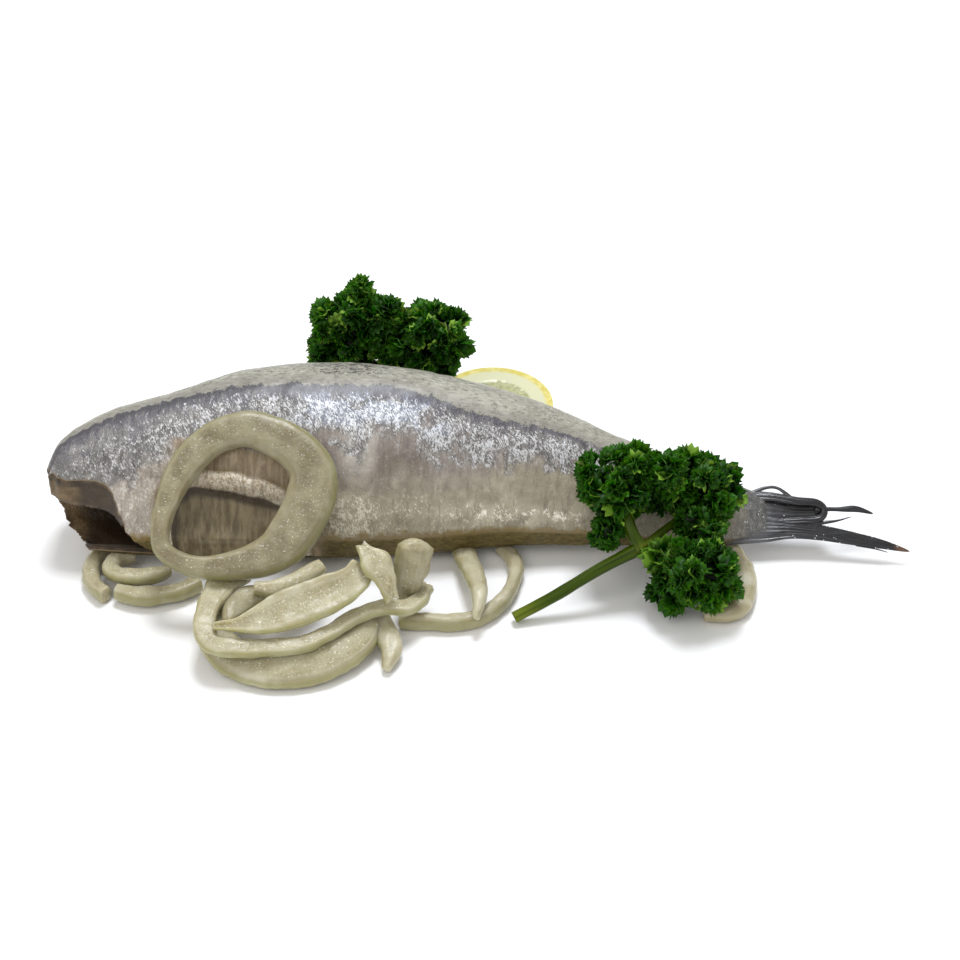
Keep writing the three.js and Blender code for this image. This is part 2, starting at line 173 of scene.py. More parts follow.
class Route:
    """A smooth route through a few points, with an even pace along it."""

    FINENESS = 240
    LOOK_AHEAD = 0.012

    def __init__(self, points: Sequence[Sequence[float]], closed: bool = False) -> None:
        """Takes the points, in millimetres, and works out the pace.

        Args:
            points: the places that the route passes.
            closed: whether the last point leads back to the first.
        """
        self.points = [Vector(point) for point in points]
        self.closed = closed
        self.trail = [self._raw(i / self.FINENESS) for i in range(self.FINENESS + 1)]
        self.walked = [0.0]
        for before, after in zip(self.trail, self.trail[1:]):
            self.walked.append(self.walked[-1] + (after - before).length)

    @property
    def length(self) -> float:
        """The whole length, in millimetres."""
        return self.walked[-1]

    def _raw(self, share: float) -> Vector:
        """A point by the share of stations passed.

        Args:
            share: from 0 to 1.

        Returns:
            The point.
        """
        count = len(self.points)
        spans = count if self.closed else count - 1
        place = share * spans
        i = min(int(place), spans - 1)
        t = place - i
        if self.closed:
            a, b, c, d = (self.points[(i + k) % count] for k in (-1, 0, 1, 2))
        else:
            b, c = self.points[i], self.points[i + 1]
            a = self.points[i - 1] if i else b * 2 - c
            d = self.points[i + 2] if i + 2 < count else c * 2 - b
        return 0.5 * (b * 2 + (c - a) * t + (a * 2 - b * 5 + c * 4 - d) * t * t
                      + (b * 3 - a - c * 3 + d) * t ** 3)

    def at(self, share: float) -> Vector:
        """A point by the share of the length walked.

        Args:
            share: from 0 to 1.

        Returns:
            The point.
        """
        if self.closed:
            share %= 1.0
        goal = clamp(share) * self.length
        low, high = 0, self.FINENESS
        while high - low > 1:
            middle = (low + high) // 2
            low, high = (middle, high) if self.walked[middle] <= goal else (low, middle)
        gap = self.walked[high] - self.walked[low]
        return self.trail[low].lerp(self.trail[high], (goal - self.walked[low]) / gap if gap else 0)

    def heading(self, share: float) -> Vector:
        """The direction of travel.

        Args:
            share: the share of the length walked.

        Returns:
            The direction, one unit long.
        """
        before, after = share - self.LOOK_AHEAD, share + self.LOOK_AHEAD
        if not self.closed:
            before, after = max(before, 0), min(after, 1)
        return (self.at(after) - self.at(before)).normalized()

    def axes(self, share: float, up: Vector) -> tuple[Vector, Vector, Vector]:
        """The directions of a section across the route.

        Args:
            share: the share of the length walked.
            up: roughly where the section's top is.

        Returns:
            The direction of travel, the side and the top, each one unit long.
        """
        tangent = self.heading(share)
        side = tangent.cross(up).normalized()
        return tangent, side, side.cross(tangent)


def strip_row(v: float, cap: float) -> tuple[float, float]:
    """Finds a row of a strip whose first and last rows close its ends.

    Args:
        v: the share of the rows passed.
        cap: the share of the rows that closes each end; 0 for a ring.

    Returns:
        The share of the route, and how far the section is open there.
    """
    if not cap:
        return v, 1.0
    return clamp((v - cap) / (1 - 2 * cap)), clamp(min(v, 1 - v) / cap)


# ------------------------------------------------------------------ meshes


@dataclass
class Skin:
    """A closed surface: a flat grid wrapped round, its place and marks worked out point by point."""

    name: str
    around: int
    steps: int
    place: Place
    marks: Marks | None = None

    def build(self, finish: Finish) -> Piece:
        """Makes the surface as an object.

        Args:
            finish: the material that it wears.

        Returns:
            The object, at the origin, with its place in its mesh.
        """
        bm = bmesh.new()
        bm.loops.layers.uv.new("strip")
        bmesh.ops.create_grid(bm, x_segments=self.around, y_segments=self.steps, size=0.5, calc_uvs=True)
        marks = bm.verts.layers.float_color.new("marks")
        for vert in bm.verts:
            u, v = vert.co.x + 0.5, vert.co.y + 0.5
            if self.marks:
                vert[marks] = tuple(self.marks(u, v))
            vert.co = (self.place(u, v) - DISH_MIDDLE) * MM
        return finished(self.name, bm, finish, weld=WELD * MM)


def frozen(name: str, bm: bmesh.types.BMesh) -> bpy.types.Mesh:
    """Turns a bmesh into a mesh.

    Args:
        name: the mesh's name.
        bm: the bmesh, which is freed.

    Returns:
        The mesh.
    """
    mesh = bpy.data.meshes.new(name)
    bm.to_mesh(mesh)
    bm.free()
    return mesh


def copied(bm: bmesh.types.BMesh, mesh: bpy.types.Mesh, matrix: Matrix) -> list[bmesh.types.BMVert]:
    """Adds a moved copy of a mesh.

    Args:
        bm: the mesh it goes into.
        mesh: what is copied.
        matrix: where the copy goes.

    Returns:
        The copy's points.
    """
    first = len(bm.verts)
    bm.from_mesh(mesh)
    bm.verts.ensure_lookup_table()
    new = bm.verts[first:]
    bmesh.ops.transform(bm, verts=new, matrix=matrix)
    return new


def opened_to(heading: Vector) -> Matrix:
    """The turn that brings +Z to a direction."""
    return heading.to_track_quat("Z", "Y").to_matrix().to_4x4()


def spun(draw: random.Random) -> Matrix:
    """A random turn about Z."""
    return Matrix.Rotation(draw.uniform(0, 2 * math.pi), 4, "Z")


def finished(name: str, bm: bmesh.types.BMesh, finish: Finish, weld: float = 0.0,
             outward: bool = True) -> Piece:
    """Turns a bmesh into a smooth-shaded object that wears one material.

    Args:
        name: the object's name.
        bm: the mesh, which is freed.
        finish: the material.
        weld: points closer than this are merged, in metres; 0 leaves them.
        outward: whether to turn the faces outwards.

    Returns:
        The new object, linked to the scene.
    """
    if weld:
        bmesh.ops.remove_doubles(bm, verts=bm.verts, dist=weld)
        bmesh.ops.dissolve_degenerate(bm, edges=bm.edges, dist=weld / 2)
    if outward:
        bmesh.ops.recalc_face_normals(bm, faces=bm.faces)
    for face in bm.faces:
        face.smooth = True
    mesh = frozen(name, bm)
    mesh.materials.append(finish)
    piece = bpy.data.objects.new(name, mesh)
    bpy.context.scene.collection.objects.link(piece)
    return piece


def report(piece: Piece, slot: Slot, *nodes: str) -> None:
    """Puts a piece on the model's one body, in the place of the plain solids it stands for.

    Args:
        piece: the finished object.
        slot: the record's material slot; not used.
        nodes: the plain solids that it replaces.
    """
    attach(piece, BODY)
    if nodes:
        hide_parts(*nodes)
    log.info("%s: %d faces", piece.name, len(piece.data.polygons))


# ------------------------------------------------------------------ materials


COLOURS = {"data_type": "RGBA"}
SOFT = {"interpolation_type": "SMOOTHSTEP"}
TIMES = {"operation": "MULTIPLY"}
TIMES_PLUS = {"operation": "MULTIPLY_ADD"}


@dataclass(frozen=True)
class Layer:
    """A colour that lies over others where a value is past a soft limit; `high` may be the smaller."""

    value: Socket
    low: float
    high: float
    colour: Colour
    strength: float = 1.0


class Nodes:
    """A material's node tree, filled by one function."""

    def __init__(self, name: str) -> None:
        """Starts an empty material.

        Args:
            name: the material's name.
        """
        self.made = bpy.data.materials.new(name)
        self.made.use_nodes = True
        self.tree = self.made.node_tree
        self.tree.nodes.clear()

    def add(self, kind: str, inputs: dict[int | str, object] | None = None, out: int | str = 0,
            **settings: object) -> Socket | None:
        """Adds a node with its settings and its links.

        Args:
            kind: the node's type, without its ShaderNode prefix.
            inputs: a socket to link from, or a value, by the input's name or number.
            out: the name or number of the output to hand back.
            settings: properties to set on the node.

        Returns:
            The output socket, or nothing for a node without outputs.
        """
        node = self.tree.nodes.new("ShaderNode" + kind)
        for key, value in settings.items():
            setattr(node, key, value)
        for key, value in (inputs or {}).items():
            if isinstance(value, Socket):
                self.tree.links.new(value, node.inputs[key])
            else:
                node.inputs[key].default_value = value
        return node.outputs[out] if node.outputs else None

    def finish(self, shader: Socket) -> Finish:
        """Gives the material its shader and hands it back."""
        self.add("OutputMaterial", {"Surface": shader})
        return self.made

    def layered(self, base: Colour, layers: Sequence[Layer]) -> Socket:
        """Lays colours over one another.

        Args:
            base: the lowest colour, as hex or a socket.
            layers: what lies over it, from below.

        Returns:
            The colour seen from above.
        """
        colour = linear(base) if isinstance(base, str) else base
        for layer in layers:
            limits = {0: layer.value, 1: layer.low, 2: layer.high, 4: layer.strength}
            above = linear(layer.colour) if isinstance(layer.colour, str) else layer.colour
            share = self.add("MapRange", limits, **SOFT)
            colour = self.add("Mix", {0: share, 6: colour, 7: above}, out=2, **COLOURS)
        return colour

    def together(self, *limits: tuple[Socket, float, float]) -> Socket:
        """Marks where several values are all past their soft limits.

        Args:
            limits: each value, where its limit begins and where it is passed.

        Returns:
            1 where all are passed and 0 where one isn't.
        """
        shares = [self.add("MapRange", {0: value, 1: low, 2: high}, **SOFT) for value, low, high in limits]
        whole = shares[0]
        for share in shares[1:]:
            whole = self.add("Math", {0: whole, 1: share}, **TIMES)
        return whole

    def marks(self) -> Sequence[Socket]:
        """The first three marks of the piece's own points."""
        marks = self.add("Attribute", {}, "Color", attribute_name="marks")
        return self.add("SeparateColor", {0: marks}).node.outputs


# ------------------------------------------------------------------ the fish


@dataclass(frozen=True)
class FishMeasures:
    """The fish's own measures, in millimetres: along it, up its flank, and proud of its upper side."""

    roll: float = math.radians(35)
    tail_root: float = 80.0
    spine_height: StationLine = StationLine(((-120, 24), (-60, 21.4), (0, 19.6), (80, 19.4)))
    spine_back: StationLine = StationLine(((-120, 0), (-60, 3.1), (0, 5.2), (80, 5.5)))
    back: StationLine = StationLine((
        (-118.5, -3), (-116, 3.6), (-109, 9.7), (-100, 14), (-84, 18.7), (-67, 24.3), (-50, 26.9),
        (-31, 26.6), (-6, 22.5), (20, 14.4), (45, 3.2), (67, -5.8), (80, -11.4)))
    belly: StationLine = StationLine((
        (-120, -24.8), (-91, -27.4), (-64, -28.3), (-22, -27.4), (12, -24.8), (47, -25.2), (66, -25.5),
        (80, -22.6)))
    thickness: StationLine = StationLine((
        (-118.5, 9.5), (-100, 12.5), (-70, 15), (-30, 15.5), (0, 13.5), (33, 9), (60, 5.4), (80, 1.8)))
    near_neck: StationLine = StationLine((
        (0, -118.2), (54, -118.2), (72, -117), (84, -114.9), (90, -112.5), (96, -106.2), (102, -101.8),
        (110, -99.5), (126, -98), (144, -96), (156, -93.5), (168, -90.5), (180, -89)))
    far_neck: StationLine = StationLine((
        (0, -118.2), (54, -118), (85, -116), (103, -115), (124, -112), (154, -109), (180, -107)))
    cavity_roof: StationLine = StationLine(((-120, -6.6), (-105, -6), (-85, -8), (-62, -12)))
    cavity_floor: StationLine = StationLine(((-120, -23.2), (-91, -25), (-62, -21)))
    cavity_end: float = -62.0
    flap: float = 2.4
    fullness: float = 0.22
    roundness: float = 0.82

    def place(self, along: float, rise: float, proud: float) -> Vector:
        """Turns the fish's own measures into the dish's directions.

        Args:
            along: towards the tail, in millimetres.
            rise: up the flank.
            proud: out of the upper flank.

        Returns:
            The place, in millimetres.
        """
        return Vector((
            along,
            self.spine_back(along) + rise * math.cos(self.roll) - proud * math.sin(self.roll),
            self.spine_height(along) + rise * math.sin(self.roll) + proud * math.cos(self.roll)))

    @property
    def flank_normal(self) -> Vector:
        """The way the upper flank faces."""
        return Vector((0, -math.sin(self.roll), math.cos(self.roll)))


FISH = FishMeasures()


class HerringSkin(Nodes):
    """Salted herring skin: broken silver over purple-grey flesh, a dull dry back and a brown belly band
    darkened with painted shade.
    """

    FLECK_SIZE = 0.36
    FOIL_SIZE = 1.4

    def __init__(self) -> None:
        """Starts the material and gathers the values that it is painted by: marks, places and noises."""
        super().__init__("salted_herring_skin")
        where = self.add("TexCoord", out="Object")
        # the fish's own directions, then patterns that stand up its flank, slant, or run along it
        own = self.add("Mapping", {"Vector": where, "Rotation": (-FISH.roll, 0, 0)})
        upright = self.add("Mapping", {"Vector": own, "Scale": (1, 0.6, 0.6)})
        slanted = self.add("Mapping", {"Vector": own, "Rotation": (0, 0, math.radians(-24))})
        slanted = self.add("Mapping", {"Vector": slanted, "Scale": (1, 0.42, 0.42)})
        drawn = self.add("Mapping", {"Vector": own, "Scale": (1, 0.2, 0.2)})
        combed = self.add("Mapping", {"Vector": own, "Scale": (0.34, 1, 1)})
        marks = self.add("Attribute", attribute_name="marks").node
        split = self.add("SeparateColor", {0: marks.outputs["Color"]}).node.outputs
        # down runs from 0 where the back ends to 1 at the belly's cut; along is in metres
        self.fields = {
            "down": split[0],
            "inside": split[1],
            "shaded_brown_belly": split[2],
            "hollow": marks.outputs["Alpha"],
            "along": self.add("SeparateXYZ", {0: where}),
        }
        # each noise: its coordinates, the size of its features in mm, detail and roughness; the
        # silver breaks into finer flecks than show, so they are drawn at 0.36 mm
        noises = {
            "flecks": (slanted, self.FLECK_SIZE, 3, 0.7),
            "foil": (upright, self.FOIL_SIZE, 3, 0.6),
            "streaks": (drawn, 1.5, 3, 0.62),
            "strokes": (combed, 0.7, 3, 0.6),
            "jags": (upright, 2.2, 3, 0.65),
            "stains": (where, 3.0, 3, 0.55),
            "scales": (slanted, 2.6, 2, 0.6),
            "patches": (where, 8.0, 3, 0.6),
            "wide": (where, 24.0, 2, 0.5),
            "specks": (own, 0.9, 2, 0.6),
        }
        for name, (at, size, detail, roughness) in noises.items():
            self.fields[name] = self.add("TexNoise", {
                "Vector": at, "Scale": per_mm(size), "Detail": detail, "Roughness": roughness})

    def silver(self) -> Socket:
        """Paints the silver: grey foil, dark upright streaks, white flecks that are partly painted glints,
        closest in one band, and a painted reflection of the window.

        Returns:
            The colour.
        """
        f = self.fields
        # white flecks, the silver's own and partly painted glints, crowd in one band and near the neck
        crowd = self.together((f["ragged"], 0.0, 0.13), (f["ragged"], 0.72, 0.26),
                              (f["along"], -0.122, -0.05))
        neckward = self.together((f["ragged"], 0.16, 0.36), (f["ragged"], 1.0, 0.6),
                                 (f["along"], -0.06, -0.085))
        crowded = self.add("Math", {0: crowd, 1: 0.12, 2: f["sparkle"]}, **TIMES_PLUS)
        crowded = self.add("Math", {0: neckward, 1: 0.05, 2: crowded}, **TIMES_PLUS)
        crowded = self.add("Math", {0: f["patches"], 1: 0.16, 2: crowded}, **TIMES_PLUS)
        # painted reflection of the window: bluish-white patches in the middle of the silver, whitest on the
        # flecks
        painted_window_reflection = self.together((f["along"], -0.056, -0.046), (f["along"], -0.004, -0.016),
                             (f["ragged"], 0.34, 0.2), (f["patches"], 0.43, 0.56))
        painted_reflection_flecks = self.together((painted_window_reflection, 0.1, 0.9), (crowded, 0.68, 0.78))
        purple = self.together((f["reach"], 0.85, 0.3), (f["streaks"], 0.7, 0.45))
        return self.layered("#767370", [
            Layer(f["streaks"], 0.5, 0.36, "#494643", 0.8),
            Layer(f["foil"], 0.48, 0.64, "#918e8a", 0.5),
            Layer(f["patches"], 0.52, 0.38, "#5b585e", 0.65),
            Layer(f["scales"], 0.5, 0.4, "#575552", 0.6),
            Layer(painted_window_reflection, 0.0, 0.8, "#8f9cb2", 0.5),
            Layer(crowded, 0.655, 0.735, "#a9a7a4", 0.9),
            Layer(purple, 0.0, 1.0, "#4d4a52", 0.8),
            Layer(crowded, 0.705, 0.78, "#e6e8ec", 0.65),
            Layer(painted_reflection_flecks, 0.0, 1.0, "#e9f0fb", 0.5),
        ])

    def flank(self) -> Socket:
        """Paints the flesh that shows under the silver, purple-grey above and warm grey over the belly,
        with painted wet highlights.

        Returns:
            The colour.
        """
        f = self.fields
        line = self.add("Math", {0: f["wide"], 1: 0.4, 2: f["ragged"]}, **TIMES_PLUS)
        tailward = self.add("MapRange", {0: f["along"], 1: -0.025, 2: 0.015, 4: 0.26}, **SOFT)
        neckward = self.add("MapRange", {0: f["along"], 1: -0.060, 2: -0.085, 4: -0.4}, **SOFT)
        line = self.add("Math", {0: line, 1: tailward})
        line = self.add("Math", {0: line, 1: neckward})
        # a whitish patch above the belly, right of the onion ring; paler skin towards the neck
        whitish = self.together((f["along"], -0.042, -0.035), (f["along"], -0.026, -0.032),
                                (f["ragged"], 0.22, 0.36), (f["ragged"], 0.66, 0.48))
        pale = self.together((f["along"], -0.070, -0.088), (f["ragged"], 0.3, 0.56))
        dusky = self.together((f["along"], -0.044, -0.030), (f["along"], -0.008, -0.020),
                              (f["ragged"], 0.34, 0.50), (f["ragged"], 0.98, 0.76))
        # painted wet highlights: glints low on the flank, a mound beside the ring and beads by the belly;
        # scraps of silver are left near the neck
        painted_glints = self.together((f["ragged"], 0.56, 0.8), (f["sparkle"], 0.54, 0.61))
        scraps = self.together((pale, 0.2, 0.6), (f["sparkle"], 0.49, 0.58))
        painted_mound_highlight = self.together((f["along"], -0.045, -0.040), (f["along"], -0.026, -0.033),
                              (f["ragged"], 0.66, 0.78), (f["sparkle"], 0.46, 0.55))
        painted_bead_highlights = self.together((f["along"], -0.014, -0.004), (f["along"], 0.034, 0.020),
                              (f["ragged"], 0.70, 0.78), (f["ragged"], 0.92, 0.84),
                              (f["sparkle"], 0.46, 0.56), (f["stains"], 0.47, 0.56))
        return self.layered("#887e75", [
            Layer(pale, 0.0, 1.0, "#b0a597", 0.8),
            Layer(f["streaks"], 0.5, 0.33, "#5f5754", 0.5),
            Layer(f["streaks"], 0.52, 0.7, "#aaa29b", 0.7),
            Layer(f["patches"], 0.5, 0.7, "#a39c93", 0.5),
            Layer(dusky, 0.0, 1.0, "#655a4e", 0.7),
            Layer(f["sparkle"], 0.55, 0.63, "#b3ada6", 0.55),
            Layer(whitish, 0.0, 1.0, "#c6bfb4", 0.65),
            Layer(scraps, 0.0, 1.0, "#d4cec6", 0.7),
            Layer(line, 0.7, 0.95, self.layered("#968d79", [
                Layer(f["patches"], 0.35, 0.65, "#aaa28d"),
                Layer(f["streaks"], 0.48, 0.36, "#7a7062", 0.5),
                Layer(f["stains"], 0.54, 0.68, "#b7af9b", 0.5),
            ])),
            Layer(painted_glints, 0.0, 1.0, "#e0d8c4", 0.8),
            Layer(painted_mound_highlight, 0.0, 1.0, "#e2d9c6", 0.8),
            Layer(painted_bead_highlights, 0.0, 1.0, "#f0e9da", 0.85),
        ])

    def back(self) -> Socket:
        """Paints the dried back: fine strokes along it and dark specks that gather in places.

        Returns:
            The colour.
        """
        f = self.fields
        gathered = self.add("Math", {0: f["wide"], 1: 0.3, 2: f["specks"]}, **TIMES_PLUS)
        crust = self.together((f["along"], -0.056, -0.040), (f["along"], -0.016, -0.034),
                              (f["down"], -0.05, -0.16), (f["down"], -0.42, -0.24),
                              (f["strokes"], 0.46, 0.56), (f["patches"], 0.42, 0.54))
        return self.layered("#979587", [
            Layer(f["patches"], 0.35, 0.65, "#a9a799"),
            Layer(f["strokes"], 0.48, 0.35, "#6a685f", 0.75),
            Layer(f["strokes"], 0.56, 0.68, "#cac8bd", 0.75),
            Layer(f["along"], -0.01, 0.05, "#8a8574", 0.35),
            Layer(f["down"], -0.16, -0.02, "#837f76", 0.6),
            Layer(gathered, 0.80, 0.85, "#403c39", 0.85),
            Layer(crust, 0.2, 0.8, "#2f2c2a", 0.85),
        ])

    def opening(self) -> Socket:
        """Paints the cut neck from its pale edge over the brown meat into the gut cavity, painted dark with
        shade deep inside.

        Returns:
            The colour.
        """
        f = self.fields
        meat = self.layered("#352a1a", [Layer(f["stains"], 0.38, 0.62, "#5c4c36")])
        # under the near flap the opening lies in the shade
        shaded = self.together((f["along"], -0.1120, -0.1075), (f["inside"], 0.12, 0.26))
        gut = self.layered("#58472f", [Layer(f["stains"], 0.35, 0.7, "#7d684a")])
        return self.layered("#8a7860", [
            Layer(f["inside"], 0.03, 0.11, meat),
            Layer(f["inside"], 0.40, 0.5, gut),
            # painted shade deep in the cavity
            Layer(f["inside"], 0.62, 0.9, "#33261a"),
            Layer(shaded, 0.0, 1.0, "#34271a", 0.85),
        ])

    def hollow(self) -> Socket:
        """Paints the sunken belly wall: brown skin, a pale fold that is partly a painted highlight, a dark
        crease of painted shade, then the brown wall.

        Returns:
            The colour.
        """
        f = self.fields
        # the fold: pale skin, partly a painted highlight, with painted glints
        painted_lit_fold = self.layered("#ad9a7b", [
            Layer(f["sparkle"], 0.42, 0.55, "#e6ddcb"),
            Layer(f["streaks"], 0.5, 0.36, "#7d6b50", 0.5),
        ])
        wall = self.layered("#6f6145", [
            Layer(f["streaks"], 0.34, 0.66, "#988a6b"),
            # painted shade in the crease right under the fold
            Layer(f["hollow"], 0.60, 0.44, "#3d3121", 0.9),
        ])
        above = self.layered("#87755a", [
            Layer(f["streaks"], 0.4, 0.66, "#a69478"),
            Layer(f["stains"], 0.6, 0.7, "#b7aa92", 0.5),
        ])
        return self.layered(above, [
            Layer(f["hollow"], 0.22, 0.29, painted_lit_fold),
            Layer(f["hollow"], 0.34, 0.38, wall),
        ])

    def material(self) -> Finish:
        """Builds the wet skin.

        Returns:
            The material; it reads the marks (down the flank, into the cavity, the brown belly band with its
            painted shade, hollow).
        """
        f = self.fields
        # ragged is down with a torn edge, and sparkle is where flecks and foil catch the light
        jagged = self.add("Math", {0: f["jags"], 1: 0.16, 2: -0.08}, **TIMES_PLUS)
        f["ragged"] = self.add("Math", {0: f["down"], 1: jagged})
        foil = self.add("Math", {0: f["foil"], 1: 0.34}, **TIMES)
        f["sparkle"] = self.add("Math", {0: f["flecks"], 1: 0.66, 2: foil}, **TIMES_PLUS)
        # the purple band under the back is wide at the neck and thin towards the tail
        band = self.add("Math", {0: f["along"], 1: -1.5, 2: 0.12}, **TIMES_PLUS)
        f["reach"] = self.add("Math", {0: f["ragged"], 1: band}, operation="DIVIDE")
        # the silver reaches further down near the neck than in the middle
        border = self.add("MapRange", {0: f["along"], 1: -0.070, 2: -0.100, 4: -0.22}, **SOFT)
        border = self.add("Math", {0: f["patches"], 1: -0.9, 2: border}, **TIMES_PLUS)
        bare = self.add("Math", {0: f["ragged"], 1: border})
        silvery = self.add("MapRange", {0: bare, 1: 0.03, 2: -0.22}, **SOFT)
        dry = self.add("MapRange", {0: f["ragged"], 1: 0.012, 2: -0.016}, **SOFT)
        root = self.add("Math", {0: f["patches"], 1: 0.03, 2: f["along"]}, **TIMES_PLUS)
        edge = self.together((f["ragged"], 0.09, 0.01), (f["along"], 0.03, -0.04))
        # the belly band: brown flesh, darkened with painted shade below the near flap's cut edge
        brown = self.layered("#4c4014", [Layer(f["strokes"], 0.3, 0.7, "#71622f")])
        root_grey = self.layered("#5b5a58", [Layer(f["sparkle"], 0.45, 0.66, "#8f8d89")])
        skin = self.layered(self.flank(), [
            Layer(silvery, 0.0, 1.0, self.silver()),
            Layer(f["ragged"], 0.93, 0.99, "#8a7545"),
            Layer(edge, 0.0, 0.9, "#48474b", 0.88),
            Layer(dry, 0.0, 1.0, self.back()),
            Layer(f["shaded_brown_belly"], 0.0, 1.0, brown),
            Layer(f["hollow"], 0.02, 0.14, self.hollow()),
            Layer(f["inside"], 0.0, 0.03, self.opening()),
            Layer(root, 0.078, 0.093, root_grey),
        ])
        heights = self.add("Math", {0: f["foil"], 1: 0.8, 2: f["flecks"]}, **TIMES_PLUS)
        heights = self.add("Math", {0: f["streaks"], 1: 0.7, 2: heights}, **TIMES_PLUS)
        strokes = self.add("Math", {0: f["strokes"], 1: dry}, **TIMES)
        heights = self.add("Math", {0: strokes, 1: 1.2, 2: heights}, **TIMES_PLUS)
        bump = self.add("Bump", {"Strength": 0.7, "Distance": 0.34 * MM, "Height": heights})
        # the dry back is matt, the wet silver glossy; flecks shine more than the skin between
        gloss = self.add("MapRange", {0: f["sparkle"], 1: 0.4, 2: 0.65, 3: 0.36, 4: 0.24})
        matt = self.add("Math", {0: dry, 1: 0.24, 2: gloss}, **TIMES_PLUS)
        matt = self.add("Math", {0: f["shaded_brown_belly"], 1: 0.3, 2: matt}, **TIMES_PLUS)
        metal = self.add("Math", {0: silvery, 1: 0.22}, **TIMES)
        film = self.add("MapRange", {0: f["shaded_brown_belly"], 3: 0.25, 4: 0.0})
        return self.finish(self.add("BsdfPrincipled", {
            "Base Color": skin, "Roughness": matt, "Metallic": metal, "Coat Weight": film,
            "Coat Roughness": 0.22, "Normal": bump}))


@dataclass(frozen=True)
class DriedFin:
    """A dried tail fin: dark horn-like rays under a wet film, brown at the broken tips."""

    dark: str = "#111012"
    grey: str = "#2d2d32"
    root: str = "#67676a"
    tip: str = "#6a4f38"

    def material(self) -> Finish:
        """Builds the fin finish.

        Returns:
            The material, whose streaks run along the rays.
        """
        nodes = Nodes("dried_fin_rays")
        where = nodes.add("TexCoord", out="Object")
        drawn = nodes.add("Mapping", {"Vector": where, "Scale": (0.09, 1, 1)})
        rays = nodes.add("TexNoise", {"Vector": drawn, "Scale": per_mm(0.8), "Detail": 3, "Roughness": 0.6})
        blotches = nodes.add("TexNoise", {"Vector": where, "Scale": per_mm(4), "Detail": 3})
        along = nodes.add("SeparateXYZ", {0: where})
        outward = nodes.add("Math", {0: blotches, 1: 0.02, 2: along}, **TIMES_PLUS)
        colour = nodes.layered(self.dark, [
            Layer(rays, 0.4, 0.72, self.grey),
            Layer(outward, 0.098, 0.083, self.root, 0.8),
            Layer(outward, 0.1205, 0.1245, self.tip, 0.9),
        ])
        bump = nodes.add("Bump", {"Strength": 0.7, "Distance": 0.3 * MM, "Height": rays})
        return nodes.finish(nodes.add("BsdfPrincipled", {
            "Base Color": colour, "Roughness": 0.3, "Coat Weight": 0.3, "Coat Roughness": 0.12,
            "Normal": bump}))


@dataclass(frozen=True)
class SaltGrain:
    """Coarse salt that has half dissolved: small clear whitish crystals."""

    def material(self) -> Finish:
        """Builds the salt.

        Returns:
            The material.
        """
        nodes = Nodes("wet_salt_grains")
        where = nodes.add("TexCoord", out="Object")
        clouds = nodes.add("TexNoise", {"Vector": where, "Scale": per_mm(0.5), "Detail": 3})
        colour = nodes.layered("#cfd0cf", [Layer(clouds, 0.35, 0.65, "#f4f4f0")])
        return nodes.finish(nodes.add("BsdfPrincipled", {
            "Base Color": colour, "Roughness": 0.25, "Transmission Weight": 0.3, "IOR": 1.54}))


@dataclass(frozen=True)
class FinLobe:
    """A bundle of fin rays: its route in the fish's measures, and its width and thickness along that."""

    name: str
    points: tuple[tuple[float, float, float], ...]
    wide: tuple[float, ...]
    tall: tuple[float, ...]
    rays: int


FIN_LOBES = (
    FinLobe("tail_lobe_lower",
            ((68, -18.5, 0), (78.2, -20.2, 0.2), (86.6, -20.6, 0.5), (95, -21.7, 0.5), (104, -23.4, 0.4),
             (112, -25, 0.2), (119.2, -26.9, 0)),
            (14, 9.4, 6, 4.6, 3.9, 2.8, 0.8), (4.2, 2.6, 1.9, 1.7, 1.4, 1.0, 0.4), 7),
    FinLobe("tail_web", ((68, -15.4, -0.3), (78, -14.8, -0.2), (87, -15.4, -0.3), (95.6, -15.4, -0.2)),
            (13, 9.4, 7, 5.6), (4.4, 2.6, 1.4, 1.0), 6),
    FinLobe("tail_lobe_upper",
            ((70, -11.4, 0.6), (80, -11.4, 1.2), (88, -12.8, 1.6), (93.4, -13.3, 1.5), (95.6, -15.2, 1.2),
             (94.4, -17.6, 1.0), (89, -18.2, 0.9), (82, -18.4, 0.7)),
            (3.6, 3.0, 2.6, 2.4, 2.2, 2.2, 2.2, 1.2), (3.2, 2.2, 2.0, 1.8, 1.6, 1.6, 1.6, 0.8), 3),
    FinLobe("tail_fold", ((75.5, -10.6, 0.9), (79.5, -8.9, 0.9), (83, -9.0, 1), (86.6, -11.9, 1.4)),
            (1.6, 1.0, 0.9, 1.3), (1.4, 0.9, 0.8, 1.2), 2),
    FinLobe("tail_ray_upper",
            ((93, -15.0, 1.0), (100, -15.0, 0.8), (104.8, -14.9, 0.6), (109.4, -16.2, 0.5)),
            (1.6, 1.2, 1.9, 0.6), (1, 0.8, 0.7, 0.3), 2),
    FinLobe("tail_ray_middle", ((92, -19.2, 0.8), (98.6, -18.4, 0.8), (103.4, -17.1, 0.7)),
            (1.5, 0.8, 0.2), (0.9, 0.6, 0.2), 2),
    FinLobe("tail_ray_lower", ((104, -25.0, 0.4), (109.6, -26.2, 0.3), (113, -27.2, 0.3)),
            (0.9, 0.5, 0.2), (0.6, 0.4, 0.2), 2),
)


